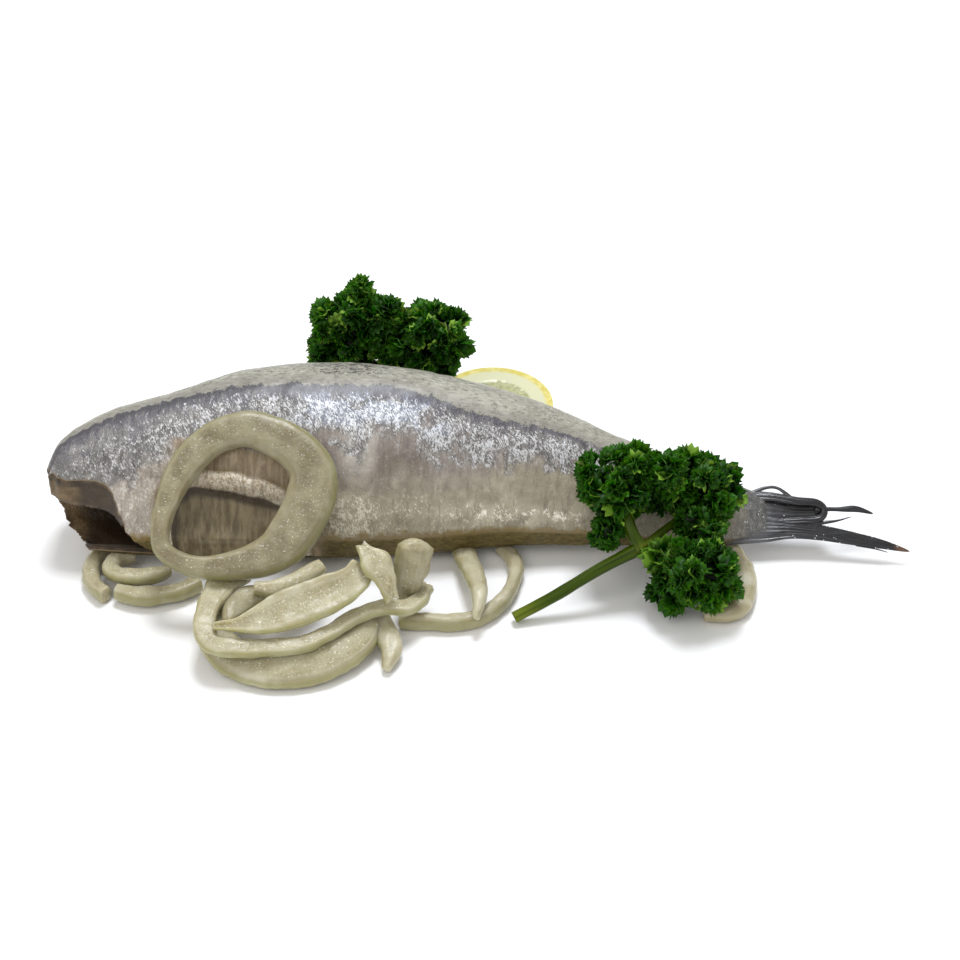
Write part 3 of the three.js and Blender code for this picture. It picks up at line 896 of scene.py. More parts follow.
@dataclass
class Herring:
    """The gutted fish: one skin from the tail over the flanks, over the cut neck and into the cavity."""

    around: int = 176
    steps: int = 300
    # the shares of the grid that end the outside and the cut edge
    outside: float = 0.80
    rim: float = 0.85
    # the sunken belly wall: how deep, at which station, how far it reaches and how far it is painted
    hollow_depth: float = 5.4
    hollow_at: float = -66.0
    hollow_reach: float = 17.5
    hollow_painted: float = 18.0
    # the edge of the belly's cut, in degrees, and the step there
    lip_angle: float = 152.0
    lip_depth: float = 1.4
    # heights of what lies on the upper flank, and the pace of the rib marks along it
    fold_height: float = 2.0
    rib_height: float = 0.3
    rib_pace: float = 2.5
    wrinkle_height: float = 0.35
    muscle_height: float = 0.26
    # the fin's grid: columns to each ray, and rows along it
    per_ray: int = 12
    fin_steps: int = 90
    # the salt: how many grains lie on the lower lobe, the web and the tail's root, and their size
    salt_seed: int = 5
    grains: tuple[int, int, int] = (30, 8, 12)
    grain_size: tuple[float, float] = (0.22, 0.42)
    grain_bevel: float = 0.07
    # where the dry back ends, in degrees round the fish, by station
    border: StationLine = StationLine((
        (-118, 42), (-104, 41), (-94, 38), (-86, 37.5), (-73, 43), (-60, 47.5), (-47, 50), (-35, 51),
        (-25, 49.5), (-16.5, 52), (-9.6, 56), (-6, 59), (3, 62), (17, 59), (29, 57), (75, 57)))
    # lumps of meat under the skin: station, height up the flank, width and height
    lumps: tuple[tuple[float, float, float, float], ...] = (
        (-41.5, -23.6, 2.0, 1.5), (-38.5, -19.0, 2.6, 0.7), (-31, -21.5, 3.4, 0.5), (10, -21.5, 3.2, 0.9),
        (27, -21.4, 3.6, 0.9), (-88, -13.5, 1.8, 0.8), (4, -20.5, 1.6, 0.9), (-30, -16.5, 2.2, 0.6),
        (18, -19, 2.4, 0.5))

    def section(self, along: float, angle: float) -> tuple[float, float]:
        """The plain section of the fish.

        Args:
            along: the station.
            angle: from the back over the upper flank, in radians.

        Returns:
            How far up the flank and how far proud the skin is.
        """
        middle = (FISH.back(along) + FISH.belly(along)) / 2
        half = (FISH.back(along) - FISH.belly(along)) / 2
        fullness = 1 + FISH.fullness * math.cos(angle)
        edge = squared(math.sin(angle), FISH.roundness)
        return middle + half * math.cos(angle), FISH.thickness(along) * fullness * edge

    def crease(self, along: float) -> float:
        """How far up the flank the fold over the emptied belly runs."""
        return -9.6 - 0.21 * (along + 80)

    def below_crease(self, along: float, rise: float) -> float:
        """How far below that fold, which wanders a little, a place on the flank lies."""
        return self.crease(along) - rise + 0.6 * rough(Vector((along, rise, 0)), 7)

    def in_hollow(self, along: float) -> float:
        """How much the belly wall is sunk at a station, 1 in the middle of the hollow."""
        return math.exp(-(abs((along - self.hollow_at) / self.hollow_reach) ** 3))

    def relief(self, along: float, rise: float, degrees: float) -> float:
        """How far the upper flank stands out from its plain section.

        Args:
            along: the station.
            rise: how far up the flank.
            degrees: the angle from the back over the upper flank.

        Returns:
            The height of the relief, in millimetres.
        """
        spot = Vector((along, rise, 0))
        reach = self.in_hollow(along)
        below = self.below_crease(along, rise)
        sink = smooth(-0.5, 1.2, below) * smooth(19, 8, below) * reach
        fold = math.exp(-((below + 2.2) / 1.7) ** 2) * reach
        ribs = math.sin((along + 0.42 * rise) * 2 * math.pi / self.rib_pace) * smooth(3, 7, below) * reach
        ribs *= smooth(-64, -71, along)
        out = -self.hollow_depth * sink + self.fold_height * fold + self.rib_height * ribs
        wrinkles = rough(Vector((along / 3, rise, 5)), 1.4, 2) * math.exp(-((below + 2) / 2.6) ** 2) * reach
        out += self.wrinkle_height * wrinkles
        muscle = rough(Vector((along / 2.6 + 0.10 * abs(rise + 3), rise / 12, 3)), 1.0, 2)
        out += self.muscle_height * muscle * smooth(40, 75, degrees) * (1 - sink)
        low = smooth(70, 110, degrees) * (1 - sink)
        out += low * (0.8 * rough(spot + Vector((3, 0, 4)), 15, 2) + 0.35 * rough(spot, 4.5, 3))
        near_edge = smooth(self.lip_angle - 30, self.lip_angle - 6, degrees)
        out += near_edge * rough(spot + Vector((0, 0, 9)), 5, 3) * (1 - sink)
        out += 0.6 * near_edge * smooth(self.lip_angle + 1, self.lip_angle - 5, degrees)
        out -= self.lip_depth * smooth(self.lip_angle - 2, self.lip_angle + 1, degrees)
        for lump_along, lump_rise, size, height in self.lumps:
            away = math.hypot(along - lump_along, rise - lump_rise) / size
            out += height * math.exp(-away * away)
        return out

    def skin(self, along: float, angle: float) -> Vector:
        """A place on the outside.

        Args:
            along: the station.
            angle: from the back over the upper flank, in radians.

        Returns:
            The place, in millimetres.
        """
        degrees = math.degrees(angle)
        rise, proud = self.section(along, angle)
        plain = proud
        if degrees < 180:
            worn = smooth(60, -40, along - 20)
            proud += self.relief(along, rise, degrees) * (0.35 + 0.65 * worn)
            proud = max(proud, plain * 0.35)
        away = Vector((0, math.cos(angle), math.sin(angle)))
        spot = Vector((along, rise, proud))
        uneven = 0.34 * rough(spot, 24, 2) + 0.14 * rough(spot + Vector((7, 7, 7)), 5, 3)
        on_back = smooth(60, 25, min(degrees, 360 - degrees))
        uneven += 0.16 * on_back * rough(Vector((along / 3, rise, proud)), 1.1, 2)
        uneven *= smooth(82, 60, along)
        rise += away.y * uneven
        proud += away.z * uneven
        point = FISH.place(along, rise, proud)
        point.z = max(point.z, LOWEST)
        return point

    def cavity(self, along: float, angle: float, close: float) -> Vector:
        """A place on the wall of the gut cavity.

        Args:
            along: the station.
            angle: from the back over the upper flank, in radians.
            close: how far the section is still open, 1 at the neck and 0 at the end.

        Returns:
            The place, in millimetres.
        """
        middle = (FISH.cavity_roof(along) + FISH.cavity_floor(along)) / 2
        half = (FISH.cavity_roof(along) - FISH.cavity_floor(along)) / 2
        rise = middle + half * math.cos(angle)
        proud = (FISH.thickness(along) - FISH.flap) * (1 + FISH.fullness * math.cos(angle)) * 0.86
        proud *= squared(math.sin(angle), FISH.roundness)
        degrees = math.degrees(angle)
        if degrees < 180:
            proud -= self.hollow_depth * self.in_hollow(along) * smooth(0, 3, self.crease(along) - rise)
        wrinkle = 0.35 * rough(Vector((along, rise, proud)), 5, 3)
        return FISH.place(along, middle + (rise - middle) * close + wrinkle * math.cos(angle),
                          proud * close + wrinkle * math.sin(angle))

    def neck(self, degrees: float) -> float:
        """Where along the fish the cut edge lies, torn a little.

        Args:
            degrees: the angle from the back over the upper flank.

        Returns:
            The station.
        """
        plain = FISH.near_neck(degrees) if degrees <= 180 else FISH.far_neck(360 - degrees)
        spot = Vector((math.cos(math.radians(degrees)), math.sin(math.radians(degrees)), 0.5))
        torn = 0.8 * noise.noise(spot * 4) + 0.7 * noise.noise(spot * 13)
        return plain + 0.5 + torn * (0.4 + 0.8 * smooth(40, 80, min(degrees, 360 - degrees)))

    def rim_share(self, v: float) -> float:
        """How far across the cut edge a row lies; rows are dense at the skin."""
        return clamp((v - self.outside) / (self.rim - self.outside)) ** 1.8

    def place(self, u: float, v: float) -> Vector:
        """Wraps the grid round the fish, from the tail over the cut neck to the cavity's end.

        Args:
            u: the share round the fish.
            v: the share from the tail to the cavity's end.

        Returns:
            The place, in millimetres.
        """
        degrees = (u * 360) % 360
        angle = math.radians(degrees)
        neck = self.neck(degrees)
        if v <= self.outside:
            share = v / self.outside
            along = FISH.tail_root + (neck - FISH.tail_root) * share
            if share == 0:
                return FISH.place(along, (FISH.back(along) + FISH.belly(along)) / 2, 0)
            return self.skin(along, angle)
        if v <= self.rim:
            share = self.rim_share(v)
            outer = self.skin(neck, angle)
            inner = self.cavity(neck, angle, 1)
            swell = 0.35 * math.sin(math.pi * min(share * 3, 1))
            swell += 0.5 * share * (1 - share) * rough(outer, 2.5, 2)
            return outer.lerp(inner, share) - Vector((swell, 0, 0))
        share = (v - self.rim) / (1 - self.rim)
        along = neck + (FISH.cavity_end - neck) * share ** 1.3
        close = math.sqrt(max(0.0, 1 - share ** 6))
        return self.cavity(along, angle, close)

    def marks(self, u: float, v: float) -> tuple[float, float, float, float]:
        """Marks for the skin's finish.

        Args:
            u: the share round the fish.
            v: the share from the tail to the cavity's end.

        Returns:
            How far down the flank, how deep in the cavity, the brown belly band with its painted shade, and
            the hollow's wall.
        """
        degrees = (u * 360) % 360
        share = min(v / self.outside, 1)
        along = FISH.tail_root + (self.neck(degrees) - FISH.tail_root) * share
        spread = min(degrees, 360 - degrees)
        border = self.border(along)
        down = (spread - border) / (self.lip_angle - border)
        angle = math.radians(degrees)
        rise, _ = self.section(along, angle)
        across = 0.0
        if v > self.outside:
            across = self.rim_share(v) * (self.skin(along, angle) - self.cavity(along, angle, 1)).length
        deep = clamp((v - self.rim) / (1 - self.rim) / 0.55)
        cavity = 0.5 * clamp(across / 2.4) + 0.5 * deep
        shaded_brown_belly = smooth(self.lip_angle - 0.5, self.lip_angle + 2.5, degrees) * smooth(240, 218, degrees)
        reach = math.exp(-(abs((along - self.hollow_at) / self.hollow_painted) ** 4))
        below = self.below_crease(along, rise)
        # the brown skin over the fold, the fold itself, then the wall
        hollow = 0.2 * smooth(-13, -9, below) + 0.13 * smooth(-5, -2, below) + max(below, 0) / 11
        hollow = min(hollow, 1) * reach if degrees < 180 else 0.0
        return down, cavity, shaded_brown_belly, hollow

    def body(self) -> None:
        """Builds the body."""
        surface = Skin("herring_body", self.around, self.steps, self.place, self.marks)
        report(surface.build(HerringSkin().material()), Slot.SKIN, "herring")

    def fin_surface(self, lobe: FinLobe) -> Place:
        """Makes the function that places a fin lobe's surface.

        Args:
            lobe: the lobe.

        Returns:
            The surface, by the share round it and the share along it.
        """
        route = Route([FISH.place(*point) for point in lobe.points])
        width, height = along_route(lobe.wide), along_route(lobe.tall)

        def place(u: float, v: float) -> Vector:
            """Places one point of the lobe.

            Args:
                u: the share round it.
                v: the share along it.

            Returns:
                The place, in millimetres.
            """
            angle = 2 * math.pi * u
            _, side, top = route.axes(v, FISH.flank_normal)
            across = math.cos(angle)
            ridges = 0.7 + 0.3 * abs(math.cos(across * lobe.rays * math.pi / 2))
            end = math.sqrt(max(0.0, 1 - (2 * v - 1) ** 24))
            ragged = 0.3 * noise.noise(Vector((across * lobe.rays / 2, v * 3, len(lobe.name))))
            return (route.at(v) + side * across * width(v) / 2 * end
                    + top * (math.sin(angle) * ridges + ragged) * height(v) / 2 * end)

        return place

    def tail(self) -> None:
        """Builds the collapsed tail fin: two lobes, the upper one curled over, and its loose rays."""
        finish = DriedFin().material()
        for lobe in FIN_LOBES:
            around = lobe.rays * self.per_ray
            surface = Skin(lobe.name, around, self.fin_steps, self.fin_surface(lobe))
            report(surface.build(finish), Slot.SKIN)

    def salt(self) -> None:
        """Scatters the grains of salt that cling to the tail's lower lobe, its web and its root."""
        draw = random.Random(self.salt_seed)
        lower, web = map(self.fin_surface, FIN_LOBES[:2])
        on_lower, on_web, on_root = self.grains
        spots = [lower(draw.choice([draw.uniform(0.4, 0.6), draw.random() / 2]), draw.uniform(0.3, 0.93))
                 for _ in range(on_lower)]
        spots += [web(draw.uniform(0.1, 0.4), draw.uniform(0.3, 0.95)) for _ in range(on_web)]
        spots += [self.skin(draw.uniform(68, 79), math.radians(draw.uniform(70, 150)))
                  for _ in range(on_root)]
        bm = bmesh.new()
        for spot in spots:
            turn = Matrix.Rotation(draw.uniform(0, 3), 4, "X") @ Matrix.Rotation(draw.uniform(0, 3), 4, "Z")
            size = draw.uniform(*self.grain_size) * MM
            place = Matrix.Translation((spot - DISH_MIDDLE) * MM)
            bmesh.ops.create_cube(bm, size=size, matrix=place @ turn)
        bmesh.ops.bevel(bm, geom=bm.edges[:], offset=self.grain_bevel * MM, affect="EDGES", segments=1,
                        profile=0.5, material=-1)
        report(finished("tail_salt_grains", bm, SaltGrain().material()), Slot.SKIN)

    def build(self) -> None:
        """Builds the whole fish."""
        self.body()
        self.tail()
        self.salt()


# ------------------------------------------------------------------ the onion


@dataclass(frozen=True)
class RawOnion:
    """Raw onion in brine: watery flesh that light goes into, granular cut faces, slick outer layers."""

    name: str
    clear: float
    flesh: str = "#b3ab8c"
    deep: str = "#8c8262"
    milky: str = "#cac6b1"
    cut: str = "#b1a988"
    cut_pale: str = "#c3bda0"
    edge: str = "#cbc7b0"
    vein_share: float = 16.0

    def material(self) -> Finish:
        """Builds the onion finish.

        Returns:
            The material; it reads the marks (cut face, darkening that is partly painted shade, outer wall)
            and the strip's own UV map.
        """
        nodes = Nodes(self.name)
        where = nodes.add("TexCoord", out="Object")
        strip = nodes.add("UVMap", uv_map="strip")
        cut, shade_and_tone, outer = nodes.marks()
        # the cells of a cut onion are about 0.3 mm, drawn at 0.7 mm so that they show
        cells, patches, painted_glints = (
            nodes.add("TexNoise", {"Vector": where, "Scale": per_mm(size), "Detail": detail})
            for size, detail in ((0.7, 3), (6.0, 3), (0.5, 1)))
        fibres = nodes.add("Mapping", {"Vector": strip, "Scale": (self.vein_share, 1.6, 1)})
        veins = nodes.add("TexNoise", {"Vector": fibres, "Scale": 1.0, "Detail": 3})
        wall = nodes.layered(self.flesh, [
            Layer(veins, 0.36, 0.72, self.deep, 0.5),
            Layer(patches, 0.42, 0.72, self.milky, 0.85),
            Layer(outer, 0.0, 1.0, "#95955a", 0.5),
        ])
        face = nodes.layered(self.cut, [
            Layer(cells, 0.52, 0.36, self.deep, 0.4),
            Layer(patches, 0.35, 0.66, self.cut_pale, 0.75),
            Layer(painted_glints, 0.64, 0.72, "#f3f1e4", 0.8),
        ])
        corner = nodes.together((cut, 0.0, 0.45), (cut, 1.0, 0.6))
        colour = nodes.layered(wall, [
            Layer(cut, 0.0, 1.0, face),
            Layer(corner, 0.0, 1.0, self.edge, 0.3),
            # whole pieces darkened towards the deep colour: partly their own tone, partly painted shade
            Layer(shade_and_tone, 0.0, 1.0, self.deep),
        ])
        fine = nodes.add("MapRange", {0: cut, 3: 0.4, 4: 1.0})
        fine = nodes.add("Math", {0: cells, 1: fine}, **TIMES)
        heights = nodes.add("Math", {0: veins, 1: 0.5, 2: fine}, **TIMES_PLUS)
        heights = nodes.add("Math", {0: patches, 1: 1.6, 2: heights}, **TIMES_PLUS)
        bump = nodes.add("Bump", {"Strength": 0.6, "Distance": 0.4 * MM, "Height": heights})
        gloss = nodes.add("MapRange", {0: cut, 3: 0.33, 4: 0.4})
        return nodes.finish(nodes.add("BsdfPrincipled", {
            "Base Color": colour, "Roughness": gloss, "IOR": 1.38, "Transmission Weight": self.clear,
            "Subsurface Weight": 0.8, "Subsurface Radius": (1.0, 0.92, 0.6), "Subsurface Scale": 3.5 * MM,
            "Coat Weight": 0.14, "Coat Roughness": 0.16, "Normal": bump}))


@dataclass
class OnionPiece:
    """One cut layer of onion along a route: cut faces above and below, smooth walls at the sides."""

    name: str
    route: Sequence[Sequence[float]]
    wide: Sequence[float]
    tall: Sequence[float]
    up: Sequence[float] = (0, 0, 1)
    closed: bool = False
    squareness: float = 0.72
    bow: float = 0.6
    trough: float = 0.0
    cut: float = 1.0
    uneven: float = 0.42
    dome: float = 0.5
    around: int = 48
    per_step: float = 0.55
    # how far the whole piece is darkened: partly its own tone, partly painted shade
    shade_and_tone: float = 0.0
    torn_start: float = 0.0
    torn_end: float = 0.0
    grit: float = 0.1
    cap_rows: float = 3.0

    def build(self, finish: Finish) -> None:
        """Builds the piece in place of its plain solid.

        Args:
            finish: the onion's material.
        """
        route = Route(self.route, self.closed)
        steps = int(route.length / self.per_step)
        width, height = along_route(self.wide), along_route(self.tall)
        up = Vector(self.up).normalized()
        seed = sum(ord(letter) for letter in self.name) * 0.37
        cap = 0.0 if self.closed else self.cap_rows / steps

        def place(u: float, v: float) -> Vector:
            """Places one point of the piece.

            Args:
                u: the share round its section.
                v: the share of the rows passed.

            Returns:
                The place, in millimetres.
            """
            angle = 2 * math.pi * u
            share, close = strip_row(v, cap)
            tangent, side, top = route.axes(share, up)
            across = squared(math.cos(angle), self.squareness)
            lift = squared(math.sin(angle), self.squareness)
            half_wide, half_tall = width(share) / 2, height(share) / 2
            out = across * half_wide * (1 - 0.10 * self.bow * lift * lift) * close
            rise = (lift * half_tall - self.trough * (1 - across * across) * max(lift, 0)) * close
            point = route.at(share)
            spot = point + side * out + top * rise
            wobble = self.uneven * rough(spot + Vector((seed, seed, seed)), 6, 3)
            grit = self.grit * rough(spot, 1.1, 2) * smooth(0.6, 0.95, abs(lift))
            point = spot + (side * across + top * lift).normalized() * (wobble + grit) * close
            point += tangent * self.dome * (1 - close * close) * (1 if share > 0.5 else -1)
            torn = self.torn_start * smooth(0.12, 0, share) - self.torn_end * smooth(0.88, 1, share)
            if torn:
                jag = noise.noise(Vector((across * 1.7, lift, seed)) * 1.3)
                point = point + tangent * torn * jag * close
            point.z = max(point.z, LOWEST)
            return point

        def marks(u: float, v: float) -> tuple[float, float, float, float]:
            """Marks one point.

            Args:
                u: the share round its section.
                v: the share of the rows passed.

            Returns:
                Cut face, darkening that is partly painted shade, outer wall and 1.
            """
            lift = abs(squared(math.sin(2 * math.pi * u), self.squareness))
            _, close = strip_row(v, cap)
            cut = self.cut * max(smooth(0.80, 0.97, lift), smooth(1.0, 0.9, close))
            outer = smooth(0.6, 0.95, math.cos(2 * math.pi * u))
            return cut, self.shade_and_tone, outer, 1

        surface = Skin(self.name, self.around, steps, place, marks)
        report(surface.build(finish), Slot.ONION, self.name)


# The big ring that leans on the flank: stations along, up the flank, and the wall's width there.
FLANK_RING = (
    (-45, -14, 13.5), (-49.1, -3.5, 11.5), (-62.6, 2.9, 9.4), (-75, -2.2, 8.5), (-82.9, -15.1, 5.6),
    (-84.5, -30.2, 5.2), (-71.3, -35.6, 8.1), (-53.7, -30.4, 12.7))
FLANK_RING_PROUD = 18.6
FLANK_RING_DEPTH = 7.0


def flank_ring() -> OnionPiece:
    """The big ring that leans on the flank.

    Returns:
        The piece; its wall is thick towards the tail and the belly.
    """
    route = [FISH.place(along, rise, FLANK_RING_PROUD) for along, rise, _ in FLANK_RING]
    walls = [wall for _, _, wall in FLANK_RING]
    return OnionPiece("onion_ring_flank", route, [*walls, walls[0]], [FLANK_RING_DEPTH] * 2,
                      up=FISH.flank_normal, closed=True, around=64, per_step=0.6, uneven=0.26, trough=0.4)


ONION_PIECES = [
    OnionPiece(
        "onion_arc_front",
        [(-65.4, -37, 7.6), (-69.6, -45, 6.6), (-69.4, -53.4, 5.2), (-62.6, -59.6, 4.4), (-52, -62.2, 4.2),
         (-41, -59.8, 4.4), (-31.8, -53, 4.8), (-28.2, -45, 5)],
        [6, 8, 10, 11.4, 11.6, 11, 9, 6], [4.6, 4.6], up=(0, -0.45, 0.9), shade_and_tone=0.08, uneven=0.4),
    OnionPiece(
        "onion_arc_upper",
        [(-66.2, -33, 11.2), (-70, -41.8, 12.2), (-71.8, -49, 12), (-71.9, -55, 11), (-69.5, -59.4, 10),
         (-62.1, -60.4, 9.6), (-54.1, -60, 9.4), (-45.6, -58.4, 9.4), (-38.4, -53.7, 9.6), (-33.2, -49, 10),
         (-26.3, -46, 10.4), (-19.8, -44.7, 9.6), (-16.4, -40.6, 8.4), (-14.6, -34.7, 7.4)],
        [10, 8.2, 6.4, 5.8, 5.6, 5.2, 5, 4.8, 4.4, 4.2, 4.2, 4.4, 4.8, 4.8], [3.8, 3.8], up=(0, -0.25, 1),
        torn_end=1.4, trough=0.5),
    OnionPiece(
        "onion_crescent",
        [(-69, -56, 13.4), (-62.1, -56, 14), (-54.2, -54, 15), (-46.4, -50.6, 16), (-38.4, -47, 17.2),
         (-33.1, -43.8, 18.6), (-30.8, -40.4, 20)],
        [2, 5, 10, 11.4, 11, 9.6, 6.8], [2.4, 3.4, 4, 4.4, 4.4, 4.2, 3.8], up=(0.1, -0.35, 0.93),
        trough=1.6),
    OnionPiece(
        "onion_arc_inner",
        [(-66.6, -50.6, 9.4), (-65, -46, 10), (-61.8, -42.8, 10.8), (-57.4, -42, 11.2)],
        [3, 6.4, 7, 5], [3.6, 3.6], up=(0.1, -0.4, 0.9), shade_and_tone=0.45),
    OnionPiece(
        "onion_strip_short",
        [(-59.5, -43, 14.6), (-55.1, -43.2, 14.4), (-50.9, -41.4, 14.4), (-46.2, -37.6, 14.4),
         (-42.6, -34, 14.4)],
        [3, 4.6, 4.8, 4.8, 4.4], [3.8, 3.8], up=(0.1, -0.4, 0.9), shade_and_tone=0.15),
    OnionPiece(
        "onion_flap_torn",
        [(-30.8, -37.5, 24.6), (-28, -41, 23), (-25.2, -44.4, 19.6), (-23.2, -47, 15.4)],
        [3, 7.6, 6, 3], [2.6, 2.6], up=(0.2, -0.6, 0.8), torn_start=4.5, torn_end=4, trough=0.6,
        uneven=0.9),
    OnionPiece(
        "onion_stub_upright",
        [(-17.4, -33.4, 21), (-18, -35.2, 17.6), (-19.2, -36.8, 12.6), (-20.4, -37.6, 6)],
        [9.6, 9.4, 7.4, 4.6], [6.2, 6.6, 5.6, 4.4], up=(0, -0.9, 0.2), squareness=1.0, uneven=0.9,
        dome=2.2, shade_and_tone=0.35),
    OnionPiece(
        "onion_stub_front",
        [(-27.2, -43, 5.8), (-25.6, -48.6, 4.6), (-23.4, -54, 3.4), (-24.6, -60.2, 2)],
        [5.6, 6.6, 6, 2.6], [3.4, 4, 4, 3], squareness=0.8, cut=0.5),
    OnionPiece(
        "onion_loop_floor",
        [(-21.4, -42.6, 2.6), (-15, -43.2, 2.6), (-6.4, -43.2, 2.6), (0.4, -41, 2.6), (5.4, -35.9, 2.6),
         (8.6, -29.8, 2.6), (9.8, -22.9, 2.6), (8.7, -17.2, 2.4), (6.4, -12.8, 2)],
        [4, 4, 4.2, 4.2, 4, 4, 4.2, 4.6, 4.8], [5, 5, 5, 5, 5, 5, 4.6, 4, 3.2], squareness=0.8, cut=0.5,
        shade_and_tone=0.3),
    OnionPiece(
        "onion_strip_belly",
        [(-4.6, -14.6, 2.6), (-3.6, -20.6, 4.6), (-1.6, -29.4, 7.2), (-0.3, -36.6, 8.2), (-0.3, -42, 7.6),
         (-1, -45, 5.8)],
        [6.8, 6.6, 5.8, 5.4, 4.4, 2.4], [4, 4], squareness=0.8, cut=0.4, shade_and_tone=0.2),
    OnionPiece(
        "onion_loop_neck",
        [(-100.6, -13.4, 2.6), (-105, -16.4, 2.6), (-106.9, -20.6, 2.6), (-106.6, -25.4, 2.6),
         (-104.8, -29.8, 2.6), (-101.8, -32.8, 2.6)],
        [4, 4.2, 4.6, 4.8, 4.8, 4], [5, 5], shade_and_tone=0.3),
    OnionPiece(
        "onion_strip_neck",
        [(-96.4, -18, 4.2), (-100, -20.6, 4.6), (-101.2, -24.6, 5), (-98.8, -27.4, 5.2),
         (-94.4, -28.2, 5.2), (-89.4, -27.4, 5), (-85, -25.2, 4.6)],
        [4.4, 4.8, 5, 5, 5, 4.4, 2.6], [4, 4], shade_and_tone=0.2),
    OnionPiece(
        "onion_strip_neck_front",
        [(-98.8, -31.8, 3.2), (-92.9, -33.6, 3), (-87, -33.3, 3), (-81.7, -31.4, 3), (-76.6, -28.4, 3.2)],
        [4, 5.2, 5.2, 5, 4.4], [4.6, 4.6], shade_and_tone=0.25),
    OnionPiece(
        "onion_arc_tail",
        [(67, -9.5, 2.6), (70.8, -16.6, 2.6), (72.6, -23.5, 2.6), (72.6, -30.4, 2.6), (70.6, -36.2, 2.6),
         (66.6, -39.6, 2.6), (60.5, -40.2, 2.6)],
        [5, 5.8, 6, 6, 6, 5.6, 4], [4.6, 4.6], squareness=0.85, cut=0.0),
]


# ------------------------------------------------------------------ parsley


@dataclass(frozen=True)
class CurlyLeaf:
    """Curly parsley leaf: dark waxy green above, paler at the toothed tips where light comes through."""

    deep: str = "#061702"
    leaf: str = "#1f5407"
    tip: str = "#427a12"
    young: str = "#86b53c"

    def material(self) -> Finish:
        """Builds the leaf finish.

        Returns:
            The material; it reads the marks (tip, shade, young).
        """
        nodes = Nodes("curly_parsley_leaf")
        where = nodes.add("TexCoord", out="Object")
        tip, shade, young = nodes.marks()
        blotches, grains = (nodes.add("TexNoise", {"Vector": where, "Scale": per_mm(size), "Detail": 3})
                            for size in (1.0, 0.5))
        colour = nodes.add("Mix", {0: shade, 6: linear(self.deep), 7: linear(self.leaf)}, 2, **COLOURS)
        colour = nodes.layered(colour, [
            Layer(tip, 0.0, 1.0, self.tip, 0.7),
            Layer(young, 0.0, 1.0, self.young),
            Layer(blotches, 0.4, 0.7, self.deep, 0.4),
        ])
        bump = nodes.add("Bump", {"Strength": 0.4, "Distance": 0.12 * MM, "Height": grains})
        return nodes.finish(nodes.add("BsdfPrincipled", {
            "Base Color": colour, "Roughness": 0.42, "Specular IOR Level": 0.16, "Subsurface Weight": 0.1,
            "Subsurface Radius": (0.3, 0.8, 0.1), "Subsurface Scale": 0.6 * MM, "Normal": bump}))


@dataclass(frozen=True)
class ParsleyStalk:
    """Parsley stalk: ribbed, juicy green, yellower towards its cut end."""

    green: str = "#3b4d06"
    pale: str = "#737f22"
    groove: str = "#142806"

    def material(self) -> Finish:
        """Builds the stalk finish.

        Returns:
            The material, whose ribs run along the strip's own UV map.
        """
        nodes = Nodes("parsley_stalk")
        strip = nodes.add("UVMap", uv_map="strip")
        along = nodes.add("SeparateXYZ", {0: strip}, "Y")
        ribs_at = nodes.add("Mapping", {"Vector": strip, "Scale": (14, 2, 1)})
        ribs = nodes.add("TexNoise", {"Vector": ribs_at, "Scale": 1.0, "Detail": 2})
        colour = nodes.layered(self.green, [
            Layer(along, 0.3, 0.0, self.pale, 0.8),
            Layer(ribs, 0.4, 0.7, self.groove, 0.6),
        ])
        bump = nodes.add("Bump", {"Strength": 0.5, "Distance": 0.3 * MM, "Height": ribs})
        return nodes.finish(nodes.add("BsdfPrincipled", {
            "Base Color": colour, "Roughness": 0.34, "Specular IOR Level": 0.14, "Coat Weight": 0.06,
            "Coat Roughness": 0.1, "Normal": bump}))


@dataclass
class ParsleyHead:
    """One curly head: florets, each a burst of frilled leaflets, over an uneven dark ball of painted shade.
    """

    at: Spot
    reach: Spot
    florets: int = 23
    floret_reach: float = 4.9
    young: float = 0.0


